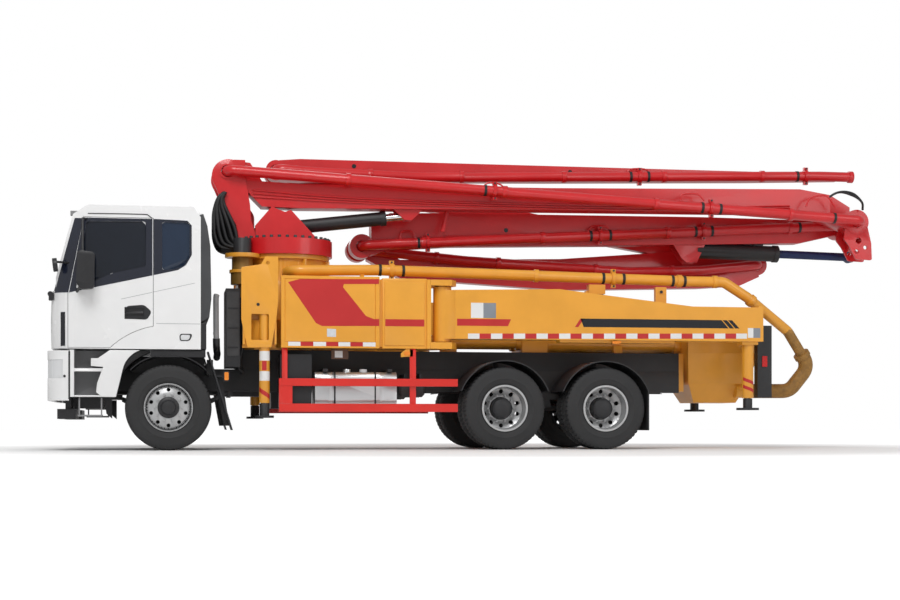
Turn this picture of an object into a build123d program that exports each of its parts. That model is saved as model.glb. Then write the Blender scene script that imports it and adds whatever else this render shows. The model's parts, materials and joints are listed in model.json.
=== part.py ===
"""Truck-mounted concrete pump with a five-section placing boom, as an assembly of separate pieces.

Frame: +X forward, +Y left, +Z up, in millimetres.  The origin is on the ground under the middle
of the machine.  Places along the truck are stations: millimetres behind the front axle.
"""
import os
from math import cos, degrees, hypot, radians, sin

from build123d import *

os.makedirs("parts", exist_ok=True)

# ---------------------------------------------------------------- driving dimensions
FRONT_OVERHANG = 1490.0        # front axle to the bumper's face
REAR_REACH = 9855.0            # front axle to the rearmost point, the eye of the elbow rod
FRONT_AXLE_X = (REAR_REACH - FRONT_OVERHANG) / 2
HALF_WIDTH = 1250.0            # half of the legal 2.5 m
SECOND_AXLE = 4300.0           # stations of the two driven axles
THIRD_AXLE = 5650.0

TYRE_RADIUS = 538.0
TYRE_WIDTH = 300.0
RIM_SEAT_RADIUS = 290.0
RIM_FLANGE_RADIUS = 303.0
WHEEL_Z = TYRE_RADIUS
TWIN_SPACING = 336.0           # middle of the outer tyre to the middle of the inner one

RAIL_OUTER_Y = 430.0           # frame rails: outer face, height, flange, plate
RAIL_HEIGHT = 290.0
RAIL_FLANGE = 85.0
RAIL_PLATE = 9.0
RAIL_TOP = 1050.0
RAIL_FRONT = -1150.0
RAIL_REAR = 6900.0
SUBFRAME_HEIGHT = 250.0
DECK_BOTTOM = 1300.0           # underside of lockers and outrigger boxes
DECK_TOP = 2215.0              # top of lockers
SEAT_GAP = 0.3                 # clearance of a piece that sits on another body's or node's curve
RUN_GAP = 6.0                  # running gap between pieces that move past each other

CAB_HALF_WIDTH = 1235.0
CAB_WALL = 55.0
CAB_FLOOR_Z = 1268.0
CAB_ROOF_Z = 3055.0
DOOR_GAP = 6.0

SLEW_STATION = 1530.0          # slewing axis
RING_TOP = 2560.0              # mating plane of pedestal and slewing drum
DRUM_RADIUS = 640.0
DRUM_TOP = 2770.0

# ---------------------------------------------------------------- small shape helpers


def at(station):
    """X of a station."""
    return FRONT_AXLE_X - station


def side_prism(outline, y_low, y_high):
    """Solid between two lateral planes; the outline is a list of (station, height)."""
    wire = Polyline(*[(at(s), z) for s, z in outline], close=True)
    plane = Plane((0, y_high, 0), x_dir=(1, 0, 0), z_dir=(0, -1, 0))
    return extrude(plane * make_face(wire), y_high - y_low)


def rounded_prism(outline, radius, y_low, y_high):
    """Side prism with every corner of its outline rounded."""
    wire = Polyline(*[(at(s), z) for s, z in outline], close=True)
    face = make_face(wire)
    plane = Plane((0, y_high, 0), x_dir=(1, 0, 0), z_dir=(0, -1, 0))
    return extrude(plane * fillet(face.vertices(), radius), y_high - y_low)


def plan_prism(outline, z_low, z_high):
    """Solid between two levels; the outline is a list of (station, y)."""
    wire = Polyline(*[(at(s), y) for s, y in outline], close=True)
    return extrude(Plane.XY.offset(z_low) * make_face(wire), z_high - z_low)


def end_prism(outline, s_front, s_rear):
    """Solid between two stations; the outline is a list of (y, height)."""
    wire = Polyline(*[(y, z) for y, z in outline], close=True)
    plane = Plane((at(s_rear), 0, 0), x_dir=(0, 1, 0), z_dir=(1, 0, 0))
    return extrude(plane * make_face(wire), s_rear - s_front)


def block(s_front, s_rear, y_low, y_high, z_low, z_high):
    """Rectangular solid from its stations, y range and levels."""
    size = (s_rear - s_front, y_high - y_low, z_high - z_low)
    middle = (at((s_front + s_rear) / 2), (y_low + y_high) / 2, (z_low + z_high) / 2)
    return Pos(*middle) * Box(*size)


def cross_rod(station, z, y_low, y_high, radius):
    """Cylinder along Y."""
    middle = Pos(at(station), (y_low + y_high) / 2, z)
    return middle * Rot(90, 0, 0) * Cylinder(radius, y_high - y_low)


def post(station, y, z_low, z_high, radius):
    """Cylinder along Z."""
    return Pos(at(station), y, (z_low + z_high) / 2) * Cylinder(radius, z_high - z_low)


def long_rod(s_front, s_rear, y, z, radius):
    """Cylinder along X."""
    return Pos(at((s_front + s_rear) / 2), y, z) * Rot(0, 90, 0) * Cylinder(radius, s_rear - s_front)


def rod_between(start, end, radius):
    """Cylinder from one point to another; points are (station, y, z)."""
    a = Vector(at(start[0]), start[1], start[2])
    b = Vector(at(end[0]), end[1], end[2])
    return extrude(Plane(a, z_dir=b - a) * Circle(radius), (b - a).length)


def pipe_run(route, radius, bend):
    """Round bar along straight runs joined by arcs; the route is a list of (station, y, z)."""
    points = [(at(s), y, z) for s, y, z in route]
    path = FilletPolyline(*points, radius=bend)
    section = Plane(path @ 0, z_dir=path % 0) * Circle(radius)
    return sweep(section, path=path)


def collar(start, end, fraction, radius, width):
    """Clamp ring on a straight pipe run, at a fraction of the way from start to end."""
    a = Vector(at(start[0]), start[1], start[2])
    b = Vector(at(end[0]), end[1], end[2])
    way = (b - a).normalized()
    base = a + (b - a) * fraction - way * (width / 2)
    return extrude(Plane(base, z_dir=way) * Circle(radius), width)


def turned(profile, y_middle, station, z):
    """Solid of revolution about a line along Y; the profile is a list of (radius, y offset)."""
    wire = Polyline(*[(r, y) for r, y in profile], close=True)
    body = revolve(make_face(wire), Axis.Y)
    return Pos(at(station), y_middle, z) * body


def mirrored(shape):
    """The same solid on the other side of the truck."""
    return mirror(shape, about=Plane.XZ)


def side_copy(shape, side):
    """The shape as modelled for the left (side 1), or mirrored to the right (side -1)."""
    return shape if side > 0 else mirrored(shape)


def write(name, shape):
    """One STEP file per node."""
    export_step(shape, f"parts/{name}.step")


SIDES = (("left", 1), ("right", -1))

# ---------------------------------------------------------------- ladder frame and subframe
CROSS_MEMBERS = (-1050.0, 1400.0, 2900.0, 3700.0, 4975.0, 6300.0, 6820.0)


def channel(side):
    """One C-section rail, open towards the middle."""
    y_out = RAIL_OUTER_Y
    y_in = RAIL_OUTER_Y - RAIL_FLANGE
    low = RAIL_TOP - RAIL_HEIGHT
    outline = [(y_out, low), (y_out, RAIL_TOP), (y_in, RAIL_TOP), (y_in, RAIL_TOP - RAIL_PLATE),
               (y_out - RAIL_PLATE, RAIL_TOP - RAIL_PLATE), (y_out - RAIL_PLATE, low + RAIL_PLATE),
               (y_in, low + RAIL_PLATE), (y_in, low)]
    return side_copy(end_prism(outline, RAIL_FRONT, RAIL_REAR), side)


def chassis_frame():
    """Rails, tubular cross-members, front cross-beam, rear lamp carriers and tank brackets."""
    frame = channel(1) + channel(-1)
    web = RAIL_OUTER_Y - RAIL_PLATE / 2
    mid = RAIL_TOP - RAIL_HEIGHT / 2
    for station in CROSS_MEMBERS:
        frame += cross_rod(station, mid, -web, web, 62)
    frame += block(RAIL_FRONT - 60, RAIL_FRONT + 8, -760, 760, 780, 980)
    frame += block(-1090, -1010, -300, 300, 700, 850)
    frame += block(-1200, -1060, 380, 424, RAIL_TOP - 60, CAB_FLOOR_Z - 6)
    frame += block(-1200, -1060, -424, -380, RAIL_TOP - 60, CAB_FLOOR_Z - 6)
    frame += block(240, 330, -400, 400, RAIL_TOP - 8, 1180)
    frame += block(240, 330, 330, 400, 1170, CAB_FLOOR_Z - SEAT_GAP)
    frame += block(240, 330, -400, -330, 1170, CAB_FLOOR_Z - SEAT_GAP)
    for station in (1950.0, 2780.0):
        for side in (1, -1):
            arm = block(station, station + 60, RAIL_OUTER_Y - 2, 645, 800, 1000)
            arm += block(station, station + 60, RAIL_OUTER_Y - 2, 1100, 1000, 1040)
            frame += side_copy(arm, side)
    return frame


# ---------------------------------------------------------------- axles and springs
KINGPIN_Y = 850.0
FRONT_TRACK_Y = HALF_WIDTH - TYRE_WIDTH / 2 - 5
SPRING_Y = RAIL_OUTER_Y - 30
KINGPIN_RADIUS = 32.0
KNUCKLE_EYE_HALF = 75.0


def leaf_spring(station, half_length, z_low, rise, leaves):
    """Stack of curved leaves: each one shorter than the one above, all bent up at the ends."""
    stack = None
    for index in range(leaves):
        reach = half_length * (1 - 0.13 * (leaves - 1 - index))
        lift = rise * (reach / half_length) ** 2
        base = z_low + 18 * index
        outline = [(station - reach, base + lift), (station - reach * 0.5, base + lift * 0.25),
                   (station, base), (station + reach * 0.5, base + lift * 0.25),
                   (station + reach, base + lift), (station + reach, base + lift + 19),
                   (station + reach * 0.5, base + lift * 0.25 + 19), (station, base + 19),
                   (station - reach * 0.5, base + lift * 0.25 + 19), (station - reach, base + lift + 19)]
        leaf = side_prism(outline, SPRING_Y - 40, SPRING_Y + 40)
        stack = leaf if stack is None else stack + leaf
    return stack


def front_axle():
    """Dropped I-beam with kingpin eyes, leaf springs and their shackles."""
    beam = end_prism([(-560, 400), (560, 400), (760, 470), (KINGPIN_Y, 480), (KINGPIN_Y, 590),
                      (740, 590), (540, 500), (-540, 500), (-740, 590), (-KINGPIN_Y, 590),
                      (-KINGPIN_Y, 480), (-760, 470)], -55, 55)
    for side in (1, -1):
        beam += post(0, side * KINGPIN_Y, 538 - KNUCKLE_EYE_HALF, 538 + KNUCKLE_EYE_HALF, 62)
        spring = leaf_spring(0, 800, 498, 188, 4)
        spring += block(-90, 90, SPRING_Y - 52, SPRING_Y + 52, 480, 500)
        spring += block(-830, -770, SPRING_Y - 42, SPRING_Y + 29, 690, RAIL_TOP - RAIL_HEIGHT)
        spring += block(770, 830, SPRING_Y - 42, SPRING_Y + 29, 690, RAIL_TOP - RAIL_HEIGHT)
        beam += side_copy(spring, side)
    for side in (1, -1):
        bore = post(0, side * KINGPIN_Y, 400, 700, KINGPIN_RADIUS + 0.1)
        beam -= bore
    return beam


def rear_axles():
    """Two driven axles with their differential bowls, on a shared pair of heavy springs."""
    axles = None
    for station in (SECOND_AXLE, THIRD_AXLE):
        axle = cross_rod(station, WHEEL_Z, -880, 880, 75)
        axle += Pos(at(station), 0, WHEEL_Z) * Sphere(205)
        axle += long_rod(station - 330, station, 0, WHEEL_Z + 30, 95)
        axles = axle if axles is None else axles + axle
    middle = (SECOND_AXLE + THIRD_AXLE) / 2
    span = (THIRD_AXLE - SECOND_AXLE) / 2
    for side in (1, -1):
        outline = [(middle - span - 70, 590), (middle - span * 0.5, 655), (middle, 680),
                   (middle + span * 0.5, 655), (middle + span + 70, 590), (middle + span + 70, 648),
                   (middle + span * 0.5, 735), (middle, 758), (middle - span * 0.5, 735),
                   (middle - span - 70, 648)]
        spring = side_prism(outline, SPRING_Y - 45, SPRING_Y + 30)
        spring += side_prism([(middle - 130, 560), (middle + 130, 560), (middle + 80, 760),
                              (middle - 80, 760)], SPRING_Y - 55, SPRING_Y + 30)
        axles += side_copy(spring, side)
    axles += cross_rod(middle, 600, -SPRING_Y, SPRING_Y, 50)
    axles += long_rod(SECOND_AXLE, THIRD_AXLE, 0, WHEEL_Z + 30, 45)
    return axles


STEER_ARM_Y = KINGPIN_Y - 90
STEER_ARM_STATION = 300.0


def knuckle():
    """Left steering knuckle: forked eye, kingpin, stub axle and steering arm."""
    half = KNUCKLE_EYE_HALF
    body = post(0, KINGPIN_Y, 538 + half + 2, 538 + half + 40, 60)
    body += post(0, KINGPIN_Y, 538 - half - 40, 538 - half - 2, 60)
    body += post(0, KINGPIN_Y, 538 - half - 40, 538 + half + 40, KINGPIN_RADIUS)
    body += block(-60, 60, KINGPIN_Y + 70, KINGPIN_Y + 92, 538 - half - 40, 538 + half + 40)
    body += block(-45, 45, KINGPIN_Y, KINGPIN_Y + 80, 538 + half + 4, 538 + half + 40)
    body += block(-45, 45, KINGPIN_Y, KINGPIN_Y + 80, 538 - half - 40, 538 - half - 4)
    body += cross_rod(0, WHEEL_Z, KINGPIN_Y + 85, FRONT_TRACK_Y + 90, 40)
    body += plan_prism([(0, KINGPIN_Y - 40), (0, KINGPIN_Y + 30), (STEER_ARM_STATION, STEER_ARM_Y + 28),
                        (STEER_ARM_STATION + 20, STEER_ARM_Y - 28)], 538 - half - 36, 538 - half - 8)
    return body


def tie_rod():
    """Track rod between the two steering arms, its eyes below them."""
    z = WHEEL_Z - KNUCKLE_EYE_HALF - 62
    rod = cross_rod(STEER_ARM_STATION, z, -STEER_ARM_Y, STEER_ARM_Y, 18)
    for side in (1, -1):
        rod += post(STEER_ARM_STATION, side * STEER_ARM_Y, z - 20, z + 25.7, 26)
    return rod


# ---------------------------------------------------------------- wheels
DRUM_BRAKE_RADIUS = 205.0


def tyre_profile(half):
    """Half-open section of a truck tyre, as (radius, y offset) round the whole carcass."""
    seat = RIM_SEAT_RADIUS + SEAT_GAP
    edge = half * 0.78
    return [(seat, -edge), (seat + 16, -edge), (seat + 40, -half * 0.93), (seat + 110, -half), (TYRE_RADIUS - 55, -half * 0.95),
            (TYRE_RADIUS - 12, -half * 0.8), (TYRE_RADIUS, -half * 0.6), (TYRE_RADIUS, half * 0.6),
            (TYRE_RADIUS - 12, half * 0.8), (TYRE_RADIUS - 55, half * 0.95), (seat + 110, half),
            (seat + 40, half * 0.93), (seat + 16, edge), (seat, edge)]


def tyre(station, y_middle):
    """One tyre."""
    return turned(tyre_profile(TYRE_WIDTH / 2), y_middle, station, WHEEL_Z)


def rim_barrel(station, y_middle, side):
    """Drop-centre barrel with a flange at each edge; it clears the tyre beads."""
    half = TYRE_WIDTH / 2 * 0.78
    seat = RIM_SEAT_RADIUS
    inner = seat - 12
    profile = [(inner, -half), (inner - 14, -half * 0.4), (inner - 14, half * 0.2), (inner, half * 0.6),
               (inner, half + 14), (RIM_FLANGE_RADIUS, half + 14), (RIM_FLANGE_RADIUS, half + 1),
               (seat, half + 1), (seat, -half - 1), (RIM_FLANGE_RADIUS, -half - 1),
               (RIM_FLANGE_RADIUS, -half - 14), (inner, -half - 14)]
    if side < 0:
        profile = [(r, -y) for r, y in profile]
    return turned(profile, y_middle, station, WHEEL_Z)


def disc_holes(station, y_low, y_high, count, circle, radius):
    """A ring of round holes through a wheel disc."""
    holes = None
    for index in range(count):
        turn = radians(360 / count * (index + 0.5))
        hole = cross_rod(station - circle * cos(turn), WHEEL_Z + circle * sin(turn), y_low, y_high, radius)
        holes = hole if holes is None else holes + hole
    return holes


def front_rim():
    """Left front rim: barrel, outward-dished disc with ten hand holes, hub and brake drum."""
    y = FRONT_TRACK_Y
    rim = rim_barrel(0, y, 1)
    disc = [(60, 96), (60, 116), (170, 116), (RIM_SEAT_RADIUS - 8, 82), (RIM_SEAT_RADIUS - 8, 68),
            (168, 100), (168, 96)]
    rim += turned(disc, y, 0, WHEEL_Z)
    rim -= disc_holes(0, y + 40, y + 140, 10, 224, 24)
    rim += turned([(40.3, -110), (90, -110), (125, 40), (135, 96), (135, 132), (95, 150), (80, 176), (0, 176),
                   (0, 96), (40.3, 96)], y, 0, WHEEL_Z)
    rim += turned([(125, -110), (DRUM_BRAKE_RADIUS, -110), (DRUM_BRAKE_RADIUS, 40), (120, 60), (118, 40),
                   (DRUM_BRAKE_RADIUS - 18, 28), (DRUM_BRAKE_RADIUS - 18, -96), (125, -96)], y, 0, WHEEL_Z)
    rim += turned([(40.3, -110), (DRUM_BRAKE_RADIUS - 10, -110), (DRUM_BRAKE_RADIUS - 10, -98), (40.3, -98)],
                  y, 0, WHEEL_Z)
    return rim


def rear_tyre_places():
    """Y of the outer and inner tyres of a left twin wheel."""
    outer = HALF_WIDTH - TYRE_WIDTH / 2 - 5
    return outer, outer - TWIN_SPACING


def rear_rims(station):
    """Left twin rims: two barrels, the outer disc dished inward, hub with flange and brake drum."""
    outer, inner = rear_tyre_places()
    middle = (outer + inner) / 2
    rims = rim_barrel(station, outer, 1) + rim_barrel(station, inner, -1)
    disc = [(60, -10), (60, 14), (170, 14), (RIM_SEAT_RADIUS - 8, 62), (RIM_SEAT_RADIUS - 8, 44),
            (175, -4), (172, -10)]
    rims += turned(disc, middle, station, WHEEL_Z)
    inside = [(60, -34), (60, -10), (172, -10), (175, -16), (RIM_SEAT_RADIUS - 8, -64),
              (RIM_SEAT_RADIUS - 8, -82), (170, -34)]
    rims += turned(inside, middle, station, WHEEL_Z)
    rims -= disc_holes(station, middle - 120, middle + 120, 10, 224, 28)
    hub = [(75.3, -250), (150, -250), (DRUM_BRAKE_RADIUS, -230), (DRUM_BRAKE_RADIUS, -60), (150, -40),
           (150, 14), (140, 60), (130, 150), (90, 170), (0, 170), (0, -20), (75.3, -20)]
    rims += turned(hub, middle, station, WHEEL_Z)
    return rims


# ---------------------------------------------------------------- engine, tank, guards, mudguards
def engine():
    """Engine and gearbox as one plain block between the rails, under the cab."""
    return block(-820, 620, -330, 330, 720, RAIL_TOP - 8) + block(620, 1250, -180, 180, 700, 1000)


def rounded_tank(s_front, s_rear, y_low, y_high, z_low, z_high, radius):
    """Tank with rounded long edges."""
    body = block(s_front, s_rear, y_low, y_high, z_low, z_high)
    return fillet(body.edges().filter_by(Axis.X), radius)


TANK = (1846.0, 2900.0, 645.0, 1110.0, 560.0, 1000.0)
GUARD_FRONT = 1378.0
GUARD_REAR = 3677.0
GUARD_RAILS = ((815.0, 912.0), (487.0, 592.0))


def fuel_tank():
    """Aluminium fuel tank on the left, with two straps and a filler neck."""
    s0, s1, y0, y1, z0, z1 = TANK
    tank = rounded_tank(s0, s1, y0, y1, z0, z1, 90)
    for station in (s0 + 170, s1 - 220):
        strap = rounded_tank(station, station + 50, y0, y1 + 7, z0 - 7, z1, 94)
        tank += strap
    tank += post(s0 + 420, y1 - 130, z1 - 10, z1 + 38, 48)
    return tank


def side_guards():
    """Side protection rails on both sides: two rails, a front post and two hangers."""
    guards = None
    for side in (1, -1):
        guard = None
        for low, high in GUARD_RAILS:
            rail = block(GUARD_FRONT, GUARD_REAR, HALF_WIDTH - 55, HALF_WIDTH - 10, low, high)
            guard = rail if guard is None else guard + rail
        guard += block(GUARD_FRONT, GUARD_FRONT + 170, HALF_WIDTH - 48, HALF_WIDTH - 14, 487, 912)
        guard += block(GUARD_REAR - 620, GUARD_REAR - 540, HALF_WIDTH - 80, HALF_WIDTH - 50, 487, DECK_BOTTOM)
        guard += block(GUARD_FRONT + 40, GUARD_FRONT + 110, HALF_WIDTH - 80, HALF_WIDTH - 46, 487, DECK_BOTTOM)
        piece = side_copy(guard, side)
        guards = piece if guards is None else guards + piece
    return guards


def arch_band(station, radius, thickness, y_low, y_high, z_cut):
    """Half-round mudguard sheet over a wheel, cut off below a level."""
    band = cross_rod(station, WHEEL_Z, y_low, y_high, radius + thickness)
    band -= cross_rod(station, WHEEL_Z, y_low - 5, y_high + 5, radius)
    return band - block(station - 900, station + 900, y_low - 9, y_high + 9, -400, z_cut)


def mudguards():
    """Black mudguards over both driven axles, the flap behind them and one behind each front wheel."""
    guards = None
    for side in (1, -1):
        piece = arch_band(SECOND_AXLE, 610, 14, 570, HALF_WIDTH, 760)
        other = arch_band(THIRD_AXLE, 610, 14, 570, HALF_WIDTH, 760)
        piece -= block(4975, 6400, 500, 1300, 300, 1400)
        other -= block(3000, 4975, 500, 1300, 300, 1400)
        piece += other
        for station in (SECOND_AXLE, THIRD_AXLE):
            piece += block(station - 30, station + 30, RAIL_OUTER_Y, 600, 990, 1030)
            piece += block(station - 30, station + 30, 572, 600, 1000, WHEEL_Z + 617)
        piece += block(6214, 6232, 600, HALF_WIDTH, 250, 790)
        flap = side_prism([(480, 1240), (500, 1240), (800, 255), (780, 255)], 930, HALF_WIDTH)
        flap += block(480, 520, RAIL_OUTER_Y, 960, 960, 1010)
        flap += block(480, 560, 925, 965, 960, 1150)
        guards_side = side_copy(piece, side) + side_copy(flap, side)
        guards = guards_side if guards is None else guards + guards_side
    return guards


# ---------------------------------------------------------------- bumper and front steps
BUMPER_TOP = 1244.0
BUMPER_BOTTOM = 622.0


def rounded_front(front, rear, half_width, corner):
    """Plan outline with rounded front corners, as a face."""
    face = make_face(Polyline((at(front), -half_width), (at(rear), -half_width),
                              (at(rear), half_width), (at(front), half_width), close=True))
    corners = face.vertices().sort_by(Axis.X)[-2:]
    return fillet(corners, corner)


def bumper_layer(depth):
    """The bumper's rounded block, drawn in by a depth on its outer faces."""
    face = rounded_front(-FRONT_OVERHANG + depth, -1215, CAB_HALF_WIDTH - depth, 250 - depth)
    return extrude(Plane.XY.offset(BUMPER_BOTTOM) * face, BUMPER_TOP - BUMPER_BOTTOM)


def lamp_zone(side, inset):
    """Block that holds one headlight at the bumper's corner."""
    zone = block(-1510, -1290, 800 + inset, 1260, 900 + inset, 1130 - inset)
    return side_copy(zone, side)


def bumper():
    """Front bumper with a lower air opening, fog lamp pockets and a headlight in each corner."""
    body = bumper_layer(0)
    body -= block(-1420, -1190, -1130, 1130, 560, 1290)
    body -= block(-1520, -1400, -560, 560, 700, 840)
    lamps = []
    for side in (1, -1):
        body -= lamp_zone(side, 0)
        ring = (bumper_layer(6) - bumper_layer(60)) & lamp_zone(side, SEAT_GAP)
        lamps.append(ring)
        body += side_copy(block(-1422, -1302, 700, 1150, 860, 1170), side)
    body -= block(-1430, -1200, -690, 690, 600, 1300)
    body += block(-1424, -1400, -700, 700, 850, 1240)
    for side in (1, -1):
        body += side_copy(block(-1424, -1210, 700, 745, 790, 975), side)
    body -= lamps[0]
    body -= lamps[1]
    return body, lamps


FENDER_TOP = CAB_FLOOR_Z - 14
FENDER_BOTTOM = 668.0
STEP_FRONT = -1208.0
STEP_LEVELS = ((668.0, 690.0), (985.0, 1025.0))
TYRE_SWEEP = 705.0             # the steered tyre stays inside this radius on its inner side


def front_fenders():
    """White wheel arch skins with the step well in front of them, its treads and back wall."""
    skin = side_prism([(-716, FENDER_TOP), (-862, 1151), (-950, 1150), (-950, 1051), (-802, 1040), (-874, 840),
                       (-887, 728), (-814, FENDER_BOTTOM), (-560, FENDER_BOTTOM), (-225, 1100), (-225, FENDER_TOP)],
                      975, CAB_HALF_WIDTH)
    arch = side_prism([(-643, FENDER_BOTTOM - 1), (-502, FENDER_TOP), (400, FENDER_TOP + 60), (400, 300),
                       (-700, 300)], 1115, CAB_HALF_WIDTH + 5)
    upper = arch.edges().filter_by(Axis.Y).sort_by(Axis.Z)[-2]
    fender = skin - fillet(upper, 330)
    fender += block(STEP_FRONT, -1153, 930, CAB_HALF_WIDTH, FENDER_BOTTOM, FENDER_TOP)
    fender += block(-1160, -640, 930, 985, FENDER_BOTTOM, FENDER_TOP)
    for low, high in STEP_LEVELS:
        fender += block(-1160, -800, 930, CAB_HALF_WIDTH - 8, low, high)
    fender -= cross_rod(0, WHEEL_Z + 20, 900, 1120, TYRE_SWEEP)
    fender += block(STEP_FRONT, -700, RAIL_OUTER_Y, 940, 985, 1025)
    return fender + mirrored(fender)


# ---------------------------------------------------------------- cab
WINDSCREEN_FOOT = 1945.0
CAB_REAR = 400.0
CAB_FRONT = -1440.0
PILLAR_TOP_STATION = -1165.0


def cab_side_face():
    """Side outline of the cab: upright nose, raked screen, rounded roof lip."""
    outline = [(CAB_FRONT, CAB_FLOOR_Z), (CAB_FRONT - 12, 1600), (CAB_FRONT + 5, WINDSCREEN_FOOT),
               (PILLAR_TOP_STATION, 2935), (-985, CAB_ROOF_Z), (CAB_REAR - 90, CAB_ROOF_Z),
               (CAB_REAR, 2930), (CAB_REAR, CAB_FLOOR_Z)]
    wire = Polyline(*[(at(s), z) for s, z in outline], close=True)
    return make_face(wire)


def cab_layer(depth):
    """The cab's closed outer body, drawn in by a depth."""
    plane = Plane((0, CAB_HALF_WIDTH - depth, 0), x_dir=(1, 0, 0), z_dir=(0, -1, 0))
    side = offset(cab_side_face(), -depth, kind=Kind.INTERSECTION) if depth else cab_side_face()
    body = extrude(plane * side, 2 * (CAB_HALF_WIDTH - depth))
    plan = rounded_front(CAB_FRONT - 12 + depth, CAB_REAR - depth, CAB_HALF_WIDTH - depth, 300 - depth)
    return body & extrude(Plane.XY.offset(1000) * plan, 2400)


DOOR_FRONT = -1225.0
DOOR_REAR = -190.0
DOOR_TOP = 2900.0
DOOR_ARC = 1035.0


def door_zone(gap):
    """Block through the left cab side that the door fills over the floor's sill, drawn in by a gap."""
    zone = side_prism([(DOOR_FRONT + gap, 1283 + gap), (DOOR_FRONT + gap, 1950), (-1035 + gap, DOOR_TOP - gap),
                       (DOOR_REAR - gap, DOOR_TOP - gap), (DOOR_REAR - gap, 1283 + gap)], 1100, 1300)
    sill = block(DOOR_FRONT - 50, DOOR_REAR + 50, 1050, CAB_HALF_WIDTH - CAB_WALL + gap, CAB_FLOOR_Z,
                 CAB_FLOOR_Z + CAB_WALL + 1)
    return zone - sill - cross_rod(0, WHEEL_Z, 1050, 1350, DOOR_ARC + gap)


def door_window_zone(gap):
    """Window opening of the door."""
    return rounded_prism([(-1130 + gap, 1998 + gap), (-1000 + gap, 2850 - gap), (-276 - gap, 2862 - gap),
                          (-276 - gap, 2300 + gap), (-700, 2205 + gap)], 45 - gap, 1080, 1320)


def quarter_window_zone(gap):
    """Small window behind the door, its lower rear corner cut."""
    return rounded_prism([(-79 + gap, 2257 + gap), (-79 + gap, 2857 - gap), (262 - gap, 2852 - gap),
                          (258 - gap, 2420), (180, 2300 + gap), (60, 2266 + gap)], 35 - gap, 1080, 1320)


def windscreen_zone(gap):
    """Block through the raked front that the windscreen fills."""
    zone = side_prism([(-1600, WINDSCREEN_FOOT + 40 + gap), (-1600, 2880 - gap), (-1010, 2880 - gap),
                       (-1270, WINDSCREEN_FOOT + 40 + gap)], -1130 + gap, 1130 - gap)
    return zone


def rear_window_zone(gap):
    """Block through the rear wall."""
    return block(CAB_REAR - 200, CAB_REAR + 200, -420 + gap, 420 - gap, 2250 + gap, 2720 - gap)


# side outline of the moulded panel on the cab's back
CAB_BACK = ((CAB_REAR - 20, 2990), (432, 2973), (483, 2822), (520, 2568), (533, 1908), (508, 1679),
            (CAB_REAR - 20, 1600))


def cab_shell():
    """Hollow cab: walls, floor and roof with the door ways and windows cut, and its rear skirt."""
    shell = cab_layer(0) - cab_layer(CAB_WALL)
    shell += side_prism(CAB_BACK, -CAB_HALF_WIDTH + 25, CAB_HALF_WIDTH - 25)
    shell -= windscreen_zone(0)
    shell -= rear_window_zone(0)
    for side in (1, -1):
        shell -= side_copy(door_zone(-DOOR_GAP), side)
        shell -= side_copy(quarter_window_zone(0), side)
    return shell


def cab_glass():
    """Windscreen, quarter windows and rear window."""
    layer = cab_layer(16) - cab_layer(24)
    panes = [layer & windscreen_zone(SEAT_GAP), layer & rear_window_zone(SEAT_GAP)]
    for side in (1, -1):
        panes.append(layer & side_copy(quarter_window_zone(SEAT_GAP), side))
    return panes


def door(side):
    """Door of full wall thickness with its window cut, its handle, its mirror and its pane."""
    skin = cab_layer(0) - cab_layer(CAB_WALL)
    panel = (skin & door_zone(0)) - door_window_zone(0)
    panel -= block(-540, -290, CAB_HALF_WIDTH - 22, CAB_HALF_WIDTH + 30, 1640, 1790)
    handle = block(-520, -310, CAB_HALF_WIDTH - 30, CAB_HALF_WIDTH - 2, 1700, 1735)
    mirror_set = door_mirror() - cab_layer(0)
    pane = (cab_layer(16) - cab_layer(24)) & door_window_zone(SEAT_GAP)
    return [side_copy(panel + handle + mirror_set, side), side_copy(pane, side)]


def cab_interior():
    """Two seats, dashboard, steering column with its wheel."""
    floor = CAB_FLOOR_Z + CAB_WALL
    parts = []
    for y in (620.0, -620.0):
        seat = block(-560, -60, y - 240, y + 240, floor + 330, floor + 450)
        seat += side_prism([(-110, floor + 420), (0, floor + 420), (110, floor + 1080),
                            (20, floor + 1080)], y - 230, y + 230)
        seat += side_prism([(40, floor + 1085), (110, floor + 1085), (125, floor + 1270),
                            (60, floor + 1270)], y - 130, y + 130)
        seat += block(40, 110, y - 40, y + 40, floor + 1060, floor + 1100)
        seat += block(-480, -140, y - 170, y + 170, floor, floor + 335)
        parts.append(seat)
    dash = side_prism([(-1340, floor + 300), (-1300, floor + 560), (-1120, floor + 640), (-960, floor + 580),
                       (-1000, floor + 300)], -1080, 1080)
    dash += block(-1330, -1200, -1080, 1080, floor, floor + 320)
    column = rod_between((-1030, 620, floor + 420), (-840, 620, floor + 690), 34)
    wheel_middle = Vector(at(-830), 620, floor + 700)
    wheel_axis = Vector(-190, 0, 270)
    wheel = Plane(wheel_middle, z_dir=wheel_axis) * Torus(215, 16)
    hub = Plane(wheel_middle - wheel_axis.normalized() * 25, z_dir=wheel_axis) * Cylinder(60, 50)
    spokes = Plane(wheel_middle, z_dir=wheel_axis) * Box(420, 36, 18)
    dash += column + wheel + hub + spokes
    parts.append(dash)
    return parts


def kerb_mirrors():
    """Small round mirrors on a short arm in front of both pillars."""
    sets = []
    for side in (1, -1):
        arm = rod_between((-1200, CAB_HALF_WIDTH - 25, 2330), (-1377, 1320, 2330), 14)
        head = rod_between((-1402, 1320, 2288), (-1350, 1320, 2294), 84)
        sets.append(side_copy((arm + head) - cab_layer(0), side))
    return sets


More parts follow.
